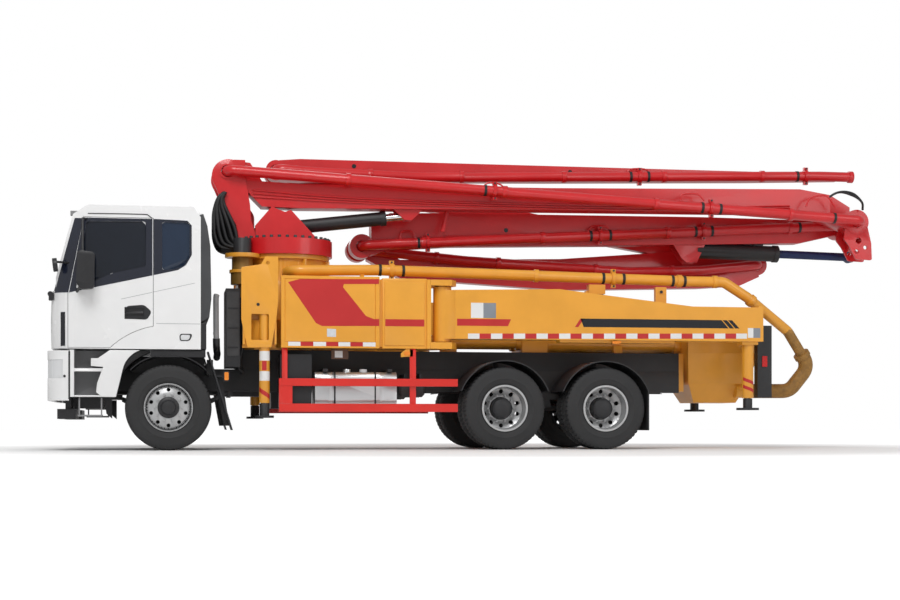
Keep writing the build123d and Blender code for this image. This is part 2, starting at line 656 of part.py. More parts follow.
def door_mirror():
    """Main mirror: a tall rounded housing on a bent stay at the door's front edge."""
    housing = rounded_prism([(-1118, 2085), (-1060, 1985), (-900, 2000), (-892, 2440), (-1100, 2470)], 45,
                            1345, 1470)
    stay = rod_between((-1040, 1400, 2440), (-1040, 1400, 2862), 17)
    stay += rod_between((-1040, 1400, 2862), (-1000, CAB_HALF_WIDTH - 10, 2880), 14)
    stay += rod_between((-1060, 1400, 2040), (-1120, CAB_HALF_WIDTH - 15, 1972), 17)
    return housing + stay


# ---------------------------------------------------------------- pedestal, outrigger boxes and lockers
FRONT_LEG_TURN = 25.0          # the front beams slide out this many degrees ahead of square
FRONT_LEG_STATION = 1130.0     # station of the beam's middle at the truck's side
FRONT_BEAM_HALF = 125.0
FRONT_BEAM_LEVELS = {"left": (1345.0, 1655.0), "right": (1745.0, 2055.0)}
BEAM_WALL = 14.0
FRONT_BEAM_LENGTH = 1850.0


def beam_plane(side):
    """Plane at the beam's outer end, its local X along the beam inward."""
    turn = radians(FRONT_LEG_TURN)
    inward = Vector(-sin(turn), -side * cos(turn), 0)
    return Plane((at(FRONT_LEG_STATION), side * (HALF_WIDTH - 120), 0), x_dir=inward, z_dir=(0, 0, 1))


def front_beam(side, start, length, half, z_low, z_high):
    """Straight bar along the beam's direction, between two levels."""
    bar = Pos(start + length / 2, 0, (z_low + z_high) / 2) * Box(length, 2 * half, z_high - z_low)
    return beam_plane(side) * bar


def front_beam_case(name, side, solid):
    """Tube that guides a front beam, or the plain space it takes."""
    low, high = FRONT_BEAM_LEVELS[name]
    grow = RUN_GAP + BEAM_WALL
    case = front_beam(side, 165, FRONT_BEAM_LENGTH - 185, FRONT_BEAM_HALF + grow, low - grow, high + grow)
    hollow = front_beam(side, -200, FRONT_BEAM_LENGTH + 400, FRONT_BEAM_HALF + RUN_GAP, low - RUN_GAP,
                        high + RUN_GAP)
    return case if solid else case - hollow


SLEW_DRIVE = (950.0, 500.0)    # slewing gear unit in front of the pedestal: station, y
# its stepped body: low level, high level, radius
SLEW_DRIVE_STEPS = (
    (2150.0, 2310.0, 150.0),
    (2300.0, 2340.0, 168.0),
    (2330.0, 2510.0, 135.0),
    (2500.0, RING_TOP - 8, 225.0),
    (RING_TOP - 20, DRUM_TOP - 15, 116.0),
)


def pedestal():
    """Subframe, crossed beam cases, box under the turret and the round pedestal on top of it."""
    low = RAIL_TOP
    frame = None
    for side in (1, -1):
        rail = block(880, RAIL_REAR, 345, 425, low, low + SUBFRAME_HEIGHT)
        piece = side_copy(rail, side)
        frame = piece if frame is None else frame + piece
    for station in (900.0, 2700.0, 3300.0, 4400.0, 5600.0, 6800.0):
        frame += block(station, station + 60, -400, 400, low + 20, low + SUBFRAME_HEIGHT)
    tower = plan_prism([(900, -520), (900, 520), (1100, 600), (2100, 600), (2420, 420), (2420, -420),
                        (2100, -600), (1100, -600)], low + SUBFRAME_HEIGHT - 1, DECK_TOP - 20)
    tower += post(SLEW_STATION, 0, DECK_TOP - 30, RING_TOP - 60, 560)
    tower += post(SLEW_STATION, 0, RING_TOP - 60, RING_TOP, 600)
    for index in range(8):
        turn = radians(45 * index + 22.5)
        rib = Pos(at(SLEW_STATION) + 590 * cos(turn), 590 * sin(turn), (DECK_TOP + RING_TOP) / 2 - 40)
        tower += rib * Rot(0, 0, degrees(turn)) * Box(80, 22, RING_TOP - DECK_TOP - 50)
    for z_low, z_high, radius in SLEW_DRIVE_STEPS:
        tower += post(*SLEW_DRIVE, z_low, z_high, radius)
    for name, side in SIDES:
        tower += front_beam_case(name, side, True)
    for name, side in SIDES:
        beam_low, beam_high = FRONT_BEAM_LEVELS[name]
        tower -= front_beam(side, -200, FRONT_BEAM_LENGTH + 600, FRONT_BEAM_HALF + RUN_GAP,
                            beam_low - RUN_GAP, beam_high + RUN_GAP)
        for start in (180.0, 1600.0):
            tower += front_beam(side, start, 150, 100, beam_low - RUN_GAP - 1, beam_low - SEAT_GAP)
            tower += front_beam(side, start, 150, 100, beam_high + SEAT_GAP, beam_high + RUN_GAP + 1)
    return frame + tower


FRONT_HEAD = (905.0, 1368.0)
HEAD_WINDOW = ((1030, 1393), (1030, 1722), (1250, 1722), (1250, 1393))
JACK_STATION = 1200.0
JACK_Y = HALF_WIDTH - 95
JACK_ROD_RADIUS = 48.0
JACK_TUBE_RADIUS = 67.0


def front_leg(name, side):
    """Telescopic front beam with its upright end box, ear and jack tube."""
    low, high = FRONT_BEAM_LEVELS[name]
    s0, s1 = FRONT_HEAD
    leg = front_beam(side, 0, FRONT_BEAM_LENGTH - 60, FRONT_BEAM_HALF, low, high)
    head = rounded_prism([(s0, 1650), (s0 + 75, DECK_BOTTOM), (s1 - 85, DECK_BOTTOM), (s1 - 22, 1680), (s1, 1900),
                          (s1, 2450), (s1 - 160, 2450), (s1 - 215, 2350), (s0, 2310)],
                         22, HALF_WIDTH - 30, HALF_WIDTH - 8)
    head += block(s0 + 20, s1 - 20, HALF_WIDTH - 190, HALF_WIDTH - 172, DECK_BOTTOM, 2240)
    head += block(s0 + 20, s0 + 45, HALF_WIDTH - 190, HALF_WIDTH - 25, DECK_BOTTOM + 40, 2240)
    head += block(s1 - 45, s1 - 20, HALF_WIDTH - 190, HALF_WIDTH - 25, DECK_BOTTOM + 40, 2240)
    head += block(s0 + 20, s1 - 20, HALF_WIDTH - 190, HALF_WIDTH - 25, 2222, 2240)
    head -= cross_rod(s1 - 130, 2370, HALF_WIDTH - 60, HALF_WIDTH + 10, 24)
    head -= rounded_prism(HEAD_WINDOW, 12, HALF_WIDTH - 60, HALF_WIDTH + 10)
    head += post(JACK_STATION, JACK_Y, 600, 2235, JACK_TUBE_RADIUS)
    body = leg + side_copy(head, side)
    return body - side_copy(post(JACK_STATION, JACK_Y, 500, 2150, JACK_ROD_RADIUS + SEAT_GAP), side)


def jack(station, y, foot_low, tube_low, rod_top, foot_radius):
    """Jack rod with its ball socket and round foot."""
    rod = post(station, y, foot_low + 60, rod_top, JACK_ROD_RADIUS)
    rod += post(station, y, foot_low + 30, tube_low - RUN_GAP, 62)
    rod += post(station, y, foot_low, foot_low + 30, foot_radius)
    return rod


LOCKER_FRONT = 1405.0
LOCKER_REAR = 2660.0
SECOND_LOCKER = (2700.0, 3275.0)
LOCKER_SHELL_Y = HALF_WIDTH - 6


def lockers():
    """Side lockers along both sides of the deck, with folded edges, and the deck plate on them."""
    blocks = []
    for side in (1, -1):
        first = plan_prism([(LOCKER_FRONT, LOCKER_SHELL_Y), (LOCKER_FRONT, 1130), (1800, 640),
                            (LOCKER_REAR, 640), (LOCKER_REAR, LOCKER_SHELL_Y)], DECK_BOTTOM, DECK_TOP)
        inset = block(LOCKER_FRONT + 45, LOCKER_REAR - 50, LOCKER_SHELL_Y - 8, LOCKER_SHELL_Y + 10,
                      DECK_BOTTOM + 70, DECK_TOP - 40)
        panel = block(LOCKER_FRONT + 53, LOCKER_REAR - 58, LOCKER_SHELL_Y - 9, LOCKER_SHELL_Y,
                      DECK_BOTTOM + 78, DECK_TOP - 48)
        first = first - inset + panel
        second = block(SECOND_LOCKER[0], SECOND_LOCKER[1], 640, LOCKER_SHELL_Y - 25, DECK_BOTTOM, DECK_TOP - 15)
        second += block(SECOND_LOCKER[0] + 30, SECOND_LOCKER[1] - 30, LOCKER_SHELL_Y - 30, LOCKER_SHELL_Y - 14,
                        DECK_BOTTOM + 40, DECK_TOP - 60)
        link = block(LOCKER_REAR - 5, SECOND_LOCKER[0] + 5, 660, LOCKER_SHELL_Y - 45, DECK_BOTTOM + 20, DECK_TOP - 30)
        blocks.append(side_copy(first + second + link, side))
    return blocks


# ---------------------------------------------------------------- rear swing legs
REAR_HINGE_STATION = 3500.0
REAR_HINGE_Y = 1075.0
REAR_LEG_OUTER = HALF_WIDTH - 2
REAR_LEG_INNER = 950.0
REAR_LEG_END = 7808.0
REAR_JACK_STATION = 7635.0
REAR_JACK_Y = 1120.0
REAR_PIN_RADIUS = 60.0


def hinge_blocks():
    """Posts and yokes that carry the rear swing legs, tied to the subframe by outriggers."""
    blocks = []
    for side in (1, -1):
        yoke = block(3275, 3330, 360, 1235, DECK_BOTTOM, 2190)
        yoke += plan_prism([(3320, 700), (3320, 1240), (3600, 1240), (3680, 1100), (3600, 900)], 2115, 2190)
        yoke += plan_prism([(3320, 700), (3320, 1240), (3600, 1240), (3680, 1100), (3600, 900)], DECK_BOTTOM, 1385)
        yoke += block(3320, 3360, 360, 800, DECK_BOTTOM, 2190)
        yoke += post(REAR_HINGE_STATION, REAR_HINGE_Y, DECK_BOTTOM, 2190, REAR_PIN_RADIUS)
        blocks.append(side_copy(yoke, side))
    return blocks


def rear_leg(side):
    """Swing leg: tapered box with its hinge barrel, end plate and jack tube."""
    outline = [(3640, 1432), (REAR_LEG_END, 1432), (REAR_LEG_END, 1905), (REAR_LEG_END - 60, 1905),
               (REAR_LEG_END - 70, 1885), (6830, 1887), (5020, 2090), (3640, 2062)]
    leg = side_prism(outline, REAR_LEG_INNER, REAR_LEG_OUTER)
    leg += post(REAR_HINGE_STATION, REAR_HINGE_Y, 1395, 2105, 118)
    leg += plan_prism([(3500, REAR_HINGE_Y - 117), (3500, REAR_HINGE_Y + 117), (3660, REAR_LEG_OUTER),
                       (3660, REAR_LEG_INNER)], 1432, 2062)
    leg += block(5040, 6600, REAR_LEG_INNER + 40, REAR_LEG_OUTER - 60, 1400, 1440)
    leg += post(REAR_JACK_STATION, REAR_JACK_Y, 680, 1500, 76)
    leg += block(REAR_JACK_STATION - 110, REAR_JACK_STATION + 110, REAR_JACK_Y - 100, REAR_JACK_Y + 100, 1390, 1440)
    leg -= post(REAR_HINGE_STATION, REAR_HINGE_Y, 1300, 2200, REAR_PIN_RADIUS + SEAT_GAP)
    leg -= post(REAR_JACK_STATION, REAR_JACK_Y, 600, 1860, JACK_ROD_RADIUS + SEAT_GAP)
    return side_copy(leg, side)


# ---------------------------------------------------------------- pump, hopper and delivery line
HOPPER_FRONT = 6960.0
HOPPER_REAR = 7960.0
HOPPER_MOUTH = 1300.0          # level where the funnel meets the upper plates
HOPPER_TOP = 1750.0
HOPPER_PLATE = 10.0
PIPE_RADIUS = 70.0
COLLAR_RADIUS = 84.0


def pump_unit():
    """Twin pumping cylinders, the water box between them and the front hydraulic cylinders."""
    z = 1440.0
    unit = None
    for y in (-190.0, 190.0):
        lane = long_rod(3500, 4720, y, z, 75) + long_rod(5060, 6960, y, z, 125)
        lane += long_rod(3480, 3540, y, z, 95) + long_rod(4660, 4730, y, z, 100)
        lane += long_rod(5060, 5120, y, z, 150) + long_rod(6880, 6960, y, z, 150)
        unit = lane if unit is None else unit + lane
    unit += block(4720, 5070, -350, 350, 1300, 1650)
    for station in (3700.0, 6000.0):
        unit += block(station, station + 120, -350, 350, 1300, 1400)
    return unit


# level, front and rear station and half width of the hopper's outside, from its floor up
HOPPER_RINGS = (
    (630.0, 7150.0, 7760.0, 300.0),
    (900.0, 7020.0, 7880.0, 480.0),
    (HOPPER_MOUTH, HOPPER_FRONT, HOPPER_REAR, 650.0),
    (HOPPER_TOP, HOPPER_FRONT, HOPPER_REAR, 670.0),
)


def hopper_ring(row, inset, lift):
    """Rectangle of one ring of the hopper, drawn in by the plate."""
    z, front, rear, half = row
    middle = at((front + rear) / 2)
    return (Plane.XY.offset(z + lift) * Pos(middle, 0) * Rectangle(rear - front - 2 * inset, 2 * (half - inset))).face()


def hopper_skin(first, last):
    """Plates of the hopper between two of its rings."""
    skin = None
    for low, high in zip(HOPPER_RINGS[first:last], HOPPER_RINGS[first + 1:last + 1]):
        outer = loft([hopper_ring(low, 0, 0), hopper_ring(high, 0, 0)], ruled=True)
        skin = outer if skin is None else skin + outer
    for low, high in zip(HOPPER_RINGS[first:last], HOPPER_RINGS[first + 1:last + 1]):
        lift = HOPPER_PLATE if first == 0 else 0
        skin -= loft([hopper_ring(low, HOPPER_PLATE, lift), hopper_ring(high, HOPPER_PLATE, lift)], ruled=True)
    return skin


def hopper():
    """Lower funnel of the hopper with its brackets to the frame, outlet stub and lamp carriers."""
    bowl = hopper_skin(0, 2) - block(6900, 8100, -800, 800, HOPPER_MOUTH, HOPPER_TOP)
    for side in (1, -1):
        bracket = block(RAIL_REAR, HOPPER_FRONT + 8, 300, 425, 780, HOPPER_MOUTH)
        carrier = block(7850, 7900, 640, 900, 1200, 1290)
        carrier += block(7816, 8016, 880, 1010, 690, 1660)
        bowl += side_copy(bracket, side) + side_copy(carrier, side)
    return bowl + long_rod(7700, 7900, 430, 790, 95)


def hopper_walls():
    """Upper plates of the hopper with their rim: both side plates, and the end plates between them."""
    wall = hopper_skin(2, 3)
    rim = block(HOPPER_FRONT - 1, HOPPER_REAR + 25, -690, 690, HOPPER_TOP - 45, HOPPER_TOP)
    wall += rim - block(HOPPER_FRONT + 24, HOPPER_REAR - 10, -660, 660, HOPPER_TOP - 60, HOPPER_TOP + 20)
    inner = HOPPER_RINGS[2][3] - HOPPER_PLATE
    sides, ends = [], wall
    for side in (1, -1):
        zone = side_copy(block(6900, 8100, inner, 800, HOPPER_MOUTH, HOPPER_TOP + 1), side)
        sides.append(grate_lug(side) + (wall & zone))
        ends -= zone
    return sides, list(ends.solids())


def grate_lug(side):
    """Lug on the rim with the pin that the grate turns on."""
    s, z = GRATE_HINGE
    lug = block(s - 20, s + 20, 686, 700, HOPPER_TOP - 30, z + 20)
    lug += block(s - 20, s + 20, 670, 700, HOPPER_TOP - 30, HOPPER_TOP)
    return side_copy(lug + cross_rod(s, z, 662, 700, 8), side)


GRATE_HINGE = (6982.0, 1776.0)


def hopper_grate():
    """Safety grate over the hopper, hinged at its front edge."""
    z = HOPPER_TOP + 6
    front = HOPPER_FRONT + 10
    rear = HOPPER_REAR + 10
    grate = None
    for y in (-680.0, 660.0):
        bar = block(front, rear, y, y + 20, z, z + 40)
        grate = bar if grate is None else grate + bar
    for station in (front, rear - 20):
        grate += block(station, station + 20, -680, 680, z, z + 40)
    for index in range(1, 14):
        y = -686 + index * 97.0
        grate += block(front + 10, rear - 10, y, y + 12, z, z + 30)
    return grate - cross_rod(*GRATE_HINGE, -690, 690, 8.3)


DECK_PIPE_Y = 880.0
DECK_PIPE_ROUTE = (
    (7900.0, 430.0, 790.0), (8000.0, 430.0, 790.0), (8440.0, 560.0, 790.0), (8690.0, 640.0, 1130.0),
    (8340.0, 760.0, 1600.0),
    (7720.0, 860.0, 2050.0), (7380.0, DECK_PIPE_Y, 2250.0), (6880.0, DECK_PIPE_Y, 2250.0),
    (2700.0, DECK_PIPE_Y, 2335.0), (SLEW_STATION, DECK_PIPE_Y, 2310.0), (SLEW_STATION, 480.0, 2310.0),
)


OUTLET_RADIUS = 98.0           # wider bend between the hopper's outlet and the line
LINE_COLLARS = ((3, 4, 0.32), (4, 5, 0.9), (6, 7, 0.25), (7, 8, 0.03), (7, 8, 0.5), (7, 8, 0.96))


def deck_pipe():
    """Delivery line from the hopper's outlet bend, along the left of the deck, to the pedestal."""
    route = DECK_PIPE_ROUTE
    line = pipe_run(route, PIPE_RADIUS, 190)
    joint = Vector(*route[3]) + (Vector(*route[4]) - Vector(*route[3])) * 0.3
    line += pipe_run([*route[:4], (joint.X, joint.Y, joint.Z)], OUTLET_RADIUS, 190)
    for first, second, fraction in LINE_COLLARS:
        line += collar(route[first], route[second], fraction, OUTLET_RADIUS + 14 if first == 3 else COLLAR_RADIUS, 60)
    line += block(2450, 2500, DECK_PIPE_Y - 40, DECK_PIPE_Y + 40, DECK_TOP, 2300)
    return line - post(SLEW_STATION, 0, 2100, RING_TOP, 560)


# ---------------------------------------------------------------- boom: hinges, lanes and sections
HINGE_1 = (764.0, 3670.0)      # arm hinges at rest, (station, height)
HINGE_2 = (9611.0, 3197.0)
HINGE_3 = (2622.0, 2782.0)
HINGE_4 = (8491.0, 2664.0)
HINGE_5 = (1456.0, 3822.0)
BOOM_TIP = (9800.0, 3925.0)
TIP_PIPE_Y = -440.0            # lane of the last arm's pipe, whose end flange takes the end hose

ARM_LANES = {1: (-160.0, 160.0), 2: (-620.0, -360.0), 3: (-1040.0, -820.0), 4: (-1010.0, -850.0),
             5: (-760.0, -540.0)}
PIPE_LANES = {1: 335.0, 2: -260.0, 3: -720.0, 4: -1140.0, 5: -440.0}
PIN_RADIUS = 100.0             # hollow hinge pins that the line passes through
PIN_BORE = 78.0
BOSS = {1: 150.0, 2: 175.0, 3: 165.0, 4: 150.0, 5: 140.0}

# station, underside and top of each arm at rest, from its root to its tip
ARM_SECTIONS = {
    1: ((800, 3590, 3800), (935, 3540, 3815), (1070, 3380, 3800), (1225, 3225, 3560), (1729, 3215, 3535), (5150, 3266, 3567),
        (8760, 3305, 3640), (9206, 3190, 3569), (9500, 3080, 3400)),
    2: ((9560, 3080, 3350), (8969, 2945, 3276), (7467, 2895, 3286), (3850, 2805, 3260), (3011, 2745, 3244),
        (2750, 2660, 3110)),
    3: ((2750, 2640, 2900), (3215, 2392, 2650), (5529, 2256, 2700), (7621, 2315, 2868), (8230, 2360, 2865),
        (8520, 2490, 2800)),
    4: ((8400, 2560, 2800), (7600, 2690, 2950), (5000, 3110, 3370), (2200, 3600, 3810), (1560, 3710, 3920)),
    5: ((1500, 3690, 3960), (1785, 3681, 3985), (5316, 3764, 3984), (8280, 3847, 3984), (9657, 3897, 3984)),
}


def arm_box(number):
    """Tapered box of one arm from its table of sections."""
    y_low, y_high = ARM_LANES[number]
    rows = ARM_SECTIONS[number]
    top = [(s, high) for s, low, high in rows]
    under = [(s, low) for s, low, high in reversed(rows)]
    return side_prism(top + under, y_low, y_high)


def hollow_pin(hinge, y_low, y_high):
    """Tube on a hinge axis, part of the arm that it carries."""
    s, z = hinge
    return cross_rod(s, z, y_low, y_high, PIN_RADIUS) - cross_rod(s, z, y_low - 1, y_high + 1, PIN_BORE)


def pin_hole(hinge, y_low, y_high, radius):
    """Space for a pin."""
    s, z = hinge
    return cross_rod(s, z, y_low, y_high, radius)


def arm_1():
    """First arm with the lugs of the lift cylinder and of the elbow cylinder."""
    y_low, y_high = ARM_LANES[1]
    arm = arm_box(1)
    arm += cross_rod(*HINGE_1, y_low, y_high, BOSS[1])
    arm += cross_rod(*HINGE_2, y_low, y_high, BOSS[2])
    for y in (-150.0, 120.0):
        horn = rounded_prism(ELBOW_HORN, 24, y, y + 30)
        for station, z, radius in ((9640, 2935, 45), (9610, 2780, 32), (9740, 2840, 28)):
            horn -= cross_rod(station, z, y - 1, y + 31, radius)
        arm += horn
    arm += block(9560, 9590, -130, 130, 2800, 3060) + cross_rod(9760, 2960, -130, 130, 40)
    arm -= pin_hole(HINGE_1, -400, 400, PIN_RADIUS + SEAT_GAP)
    arm -= pin_hole(HINGE_2, -400, 400, PIN_RADIUS + SEAT_GAP)
    for y in (-92.0, 62.0):
        arm += side_prism([(3000, 3235), (3400, 3241), (3250, 3095), (3150, 3095)], y, y + 30)
    shoulder = ELBOW_Y + ELBOW_EYE_WIDTH / 2 + RUN_GAP
    arm += cross_rod(*ELBOW_EYE, shoulder, -140, 50) + cross_rod(*ELBOW_EYE, shoulder, shoulder + 30, 72)
    return arm


def arm_2():
    """Second arm, beside the first and folded under it."""
    y_low, y_high = ARM_LANES[2]
    arm = arm_box(2)
    arm += cross_rod(*HINGE_2, y_low, y_high, BOSS[2])
    arm += cross_rod(*HINGE_3, y_low, y_high, BOSS[3])
    arm -= pin_hole(HINGE_2, -700, -300, PIN_BORE)
    pin = hollow_pin(HINGE_2, y_low, ARM_LANES[1][1])
    window = block(HINGE_2[0] - 260, HINGE_2[0], PIPE_LANES[2] - 90, PIPE_LANES[2] + 90, HINGE_2[1] - 90, HINGE_2[1] + 90)
    arm += pin - window
    arm -= pin_hole(HINGE_3, -700, -300, PIN_RADIUS + SEAT_GAP)
    for y in (ELBOW_Y - 105, ELBOW_Y + 80):
        arm += side_prism([(7060, 2920), (7560, 2920), (7430, 2640), (7270, 2640), (7200, 2700)], y, y + 25)
    arm += cross_rod(*ELBOW_BASE, ELBOW_Y - 90, ELBOW_Y + 90, 70)
    arm += block(8300, 8440, ELBOW_Y - 50, ELBOW_Y + 50, 2820, 2980)
    tube = cylinder_tube(ELBOW_BASE, ELBOW_EYE, ELBOW_Y, ELBOW_TUBE_RADIUS, 1340, 70, 100, 80)
    return cylinder_bore(arm + tube, ELBOW_BASE, ELBOW_EYE, ELBOW_Y, ELBOW_ROD_RADIUS, 1340, 70)


def arm_3():
    """Third arm: its far end is a fork that takes the fourth arm's root."""
    y_low, y_high = ARM_LANES[3]
    arm = arm_box(3)
    arm += cross_rod(*HINGE_3, y_low, y_high, BOSS[3])
    arm += cross_rod(*HINGE_4, y_low, y_high, BOSS[4])
    arm -= pin_hole(HINGE_3, y_low - 5, y_high + 5, PIN_BORE)
    pin = hollow_pin(HINGE_3, y_low, ARM_LANES[2][1])
    window = block(HINGE_3[0], HINGE_3[0] + 260, PIPE_LANES[3] - 90, PIPE_LANES[3] + 90, HINGE_3[1] - 90, HINGE_3[1] + 90)
    arm += pin - window
    slot_low, slot_high = ARM_LANES[4]
    s4, z4 = HINGE_4
    slot = side_prism([(s4 + 300, z4 - 165), (s4 - 60, z4 - 165), (6350, 2855), (6350, 3300), (s4 + 300, 3300)],
                      slot_low - RUN_GAP, slot_high + RUN_GAP)
    arm -= slot
    arm -= cross_rod(s4, z4, slot_low - RUN_GAP, slot_high + RUN_GAP, 165)
    arm -= pin_hole(HINGE_4, y_low - 5, y_high + 5, PIN_RADIUS + SEAT_GAP)
    return arm


def arm_4():
    """Fourth arm, running up across the others to the front."""
    y_low, y_high = ARM_LANES[4]
    arm = arm_box(4)
    arm += cross_rod(*HINGE_4, y_low, y_high, BOSS[4])
    arm += cross_rod(*HINGE_5, y_low, y_high, BOSS[5])
    arm -= pin_hole(HINGE_4, y_low - 5, y_high + 5, PIN_BORE)
    arm += hollow_pin(HINGE_4, ARM_LANES[3][0], ARM_LANES[3][1])
    arm -= pin_hole(HINGE_5, y_low - 5, y_high + 5, PIN_RADIUS + SEAT_GAP)
    return arm


def arm_5():
    """Last arm, lying on top of the folded boom."""
    y_low, y_high = ARM_LANES[5]
    arm = arm_box(5)
    arm += cross_rod(*HINGE_5, y_low, y_high, BOSS[5])
    arm -= pin_hole(HINGE_5, y_low - 5, y_high + 5, PIN_BORE)
    arm += hollow_pin(HINGE_5, ARM_LANES[4][0], y_high)
    return arm + long_rod(BOOM_TIP[0] - 62, BOOM_TIP[0], TIP_PIPE_Y, BOOM_TIP[1], COLLAR_RADIUS)


ELBOW_Y = -490.0               # cylinder that unfolds the second arm: lane, barrel's base, rod's eye
ELBOW_BASE = (7330.0, 2825.0)
ELBOW_EYE = (9775.0, 2765.0)
# horn under the second hinge that takes the rod's eye, (station, height)
ELBOW_HORN = ((9430, 3090), (9420, 2956), (9500, 2858), (9600, 2672), (9840, 2660), (9830, 2900), (9770, 3150))
ELBOW_TUBE_RADIUS = 112.0
ELBOW_ROD_RADIUS = 58.0
ELBOW_ROD_START = 970.0        # the rod's inner end at rest, measured from the barrel's base
ELBOW_EYE_WIDTH = 124.0
ELBOW_EYE_RADIUS = 80.0

ARM_ROUTES = {
    1: ((*HINGE_1, 222), (*HINGE_1, 335), (*HINGE_2, 335), (*HINGE_2, 222)),
    2: ((*HINGE_2, 219), (*HINGE_2, -260), (*HINGE_3, -260), (*HINGE_3, -370)),
    3: ((*HINGE_3, -373), (*HINGE_3, -720), (3300, 2715, -720), (4127, 2640, -720), (6500, 2520, -720),
        (7600, 2560, -720), (*HINGE_4, -720), (*HINGE_4, -830)),
    4: ((*HINGE_4, -833), (*HINGE_4, -1140), (*HINGE_5, -1140), (*HINGE_5, -1030)),
    5: ((*HINGE_5, -1027), (*HINGE_5, TIP_PIPE_Y), (2050, 3790, TIP_PIPE_Y), (3441, 3760, TIP_PIPE_Y),
        (9300, 3925, TIP_PIPE_Y), (*BOOM_TIP, TIP_PIPE_Y)),
}
# arm, the two route points of the run that is held, and how far along it each holder sits
PIPE_HOLDERS = {
    1: ((1, 2, (0.18, 0.42, 0.66, 0.88)),),
    2: ((1, 2, (0.12, 0.38, 0.64, 0.88)),),
    3: ((2, 3, (0.5,)), (3, 4, (0.2, 0.8)), (4, 5, (0.6,))),
    4: ((1, 2, (0.4, 0.62, 0.84)),),
    5: ((2, 3, (0.5,)), (3, 4, (0.1, 0.35, 0.6, 0.85))),
}
PIPE_BEND = 105.0


def arm_line(number):
    """Delivery pipe of one arm with its collars and the holders that tie it to the arm's side."""
    points = [(s, y, z) for s, z, y in ARM_ROUTES[number]]
    line = pipe_run(points, PIPE_RADIUS, PIPE_BEND)
    low, high = ARM_LANES[number]
    for first, second, fractions in PIPE_HOLDERS[number]:
        a, b = points[first], points[second]
        for fraction in fractions:
            station = a[0] + (b[0] - a[0]) * fraction
            z = a[2] + (b[2] - a[2]) * fraction
            line += collar(a, b, fraction, COLLAR_RADIUS, 62)
            if a[1] > high:
                line += block(station - 35, station + 35, high - 1, a[1] - PIPE_RADIUS + 4, z - 40, z + 40)
            else:
                line += block(station - 35, station + 35, a[1] + PIPE_RADIUS - 4, low + 1, z - 40, z + 40)
    return line


MAST_HEAD = (785.0, 3610.0)    # middle of the mast's round head
MAST_HEAD_RADIUS = 222.0
# side outlines of the mast's plates, (station, height)
MAST_LEG = ((572, 3550), (658, 3357), (776, 3162), (881, 2966), (907, DRUM_TOP - 5), (1157, DRUM_TOP - 5),
            (1078, 3036), (1065, 3234), (1004, 3580), (1000, 3826), (850, 3826))
LIFT_CHEEK = ((1150, DRUM_TOP - 5), (1130, 2960), (1355, 3225), (1430, 3185), (1527, 3152), (1607, 3180),
              (1966, 2788), (2050, DRUM_TOP - 5))


def turret():
    """Slewing drum, leaning mast plates, cross plates and the riser pipe."""
    drum = post(SLEW_STATION, 0, RING_TOP + SEAT_GAP, DRUM_TOP, DRUM_RADIUS)
    drum -= post(SLEW_STATION, 0, RING_TOP - 5, RING_TOP + 60, 470)
    head_s, head_z = MAST_HEAD
    for outline in (MAST_LEG, LIFT_CHEEK):
        near = side_prism(outline, 180, 225)
        drum += near + mirrored(near)
    near = cross_rod(head_s, head_z, 180, 225, MAST_HEAD_RADIUS)
    drum += near + mirrored(near)
    drum += block(905, 2050, -200, 200, DRUM_TOP - 5, DRUM_TOP + 35)
    anchor_s, anchor_z = LIFT_ANCHOR
    for y in (-92.0, 62.0):
        drum += side_prism([(anchor_s - 150, DRUM_TOP + 30), (anchor_s + 150, DRUM_TOP + 30),
                            (anchor_s + 70, anchor_z + 20), (anchor_s + 40, anchor_z + 75),
                            (anchor_s - 40, anchor_z + 75), (anchor_s - 70, anchor_z + 20)], y, y + 30)
    drum += cross_rod(*LIFT_ANCHOR, -92, 92, 40)
    drum += side_prism([(725, 3300), (835, 3130), (915, 2960), (930, 2790), (965, 2790), (950, 2970), (870, 3150),
                        (765, 3315)], -200, 200)
    drum += hollow_pin(HINGE_1, -260, 250)
    drum -= pin_hole(HINGE_1, -262, 252, PIN_BORE)
    return drum


def riser():
    """Pipe from the slewing drum up the far side of the mast and through the first hinge pin."""
    s, z = HINGE_1
    points = [(1080, -330, DRUM_TOP + 10), (1080, -330, 3150), (s, -330, z - 170), (s, -330, z), (s, 219, z)]
    line = pipe_run(points, PIPE_RADIUS, PIPE_BEND)
    line += post(1080, -330, DRUM_TOP - 5, DRUM_TOP + 50, 95)
    line += block(1050, 1110, -270, -215, 2900, 2980)
    return line


# ---------------------------------------------------------------- boom cylinders
LIFT_ANCHOR = (1380.0, 2938.0)
LIFT_EYE = (3200.0, 3160.0)
LIFT_TUBE_RADIUS = 92.0
LIFT_TUBE_LENGTH = 1530.0
LIFT_ROD_RADIUS = 55.0


def along(start, end, distance, y):
    """Point on the line from a start towards an end, both (station, height), in the lane y."""
    reach = hypot(end[0] - start[0], end[1] - start[1])
    return (start[0] + (end[0] - start[0]) * distance / reach, y, start[1] + (end[1] - start[1]) * distance / reach)


def cylinder_tube(start, end, y, radius, length, eye_radius, width, step):
    """Hydraulic barrel: eye, neck, tube with a thicker head and end cap."""
    tube = cross_rod(start[0], start[1], y - width / 2, y + width / 2, eye_radius)
    first = eye_radius + step - 40
    tube += rod_between((start[0], y, start[1]), along(start, end, first + 10, y), eye_radius * 0.7)
    tube += rod_between(along(start, end, first, y), along(start, end, length, y), radius)
    tube += rod_between(along(start, end, length - 70, y), along(start, end, length, y), radius + 10)
    return tube


def cylinder_bore(body, start, end, y, rod_radius, length, eye_radius):
    """The body with the rod's bore cut into its barrel."""
    inner = along(start, end, eye_radius + 60, y)
    return body - rod_between(inner, along(start, end, length + 5, y), rod_radius + SEAT_GAP)


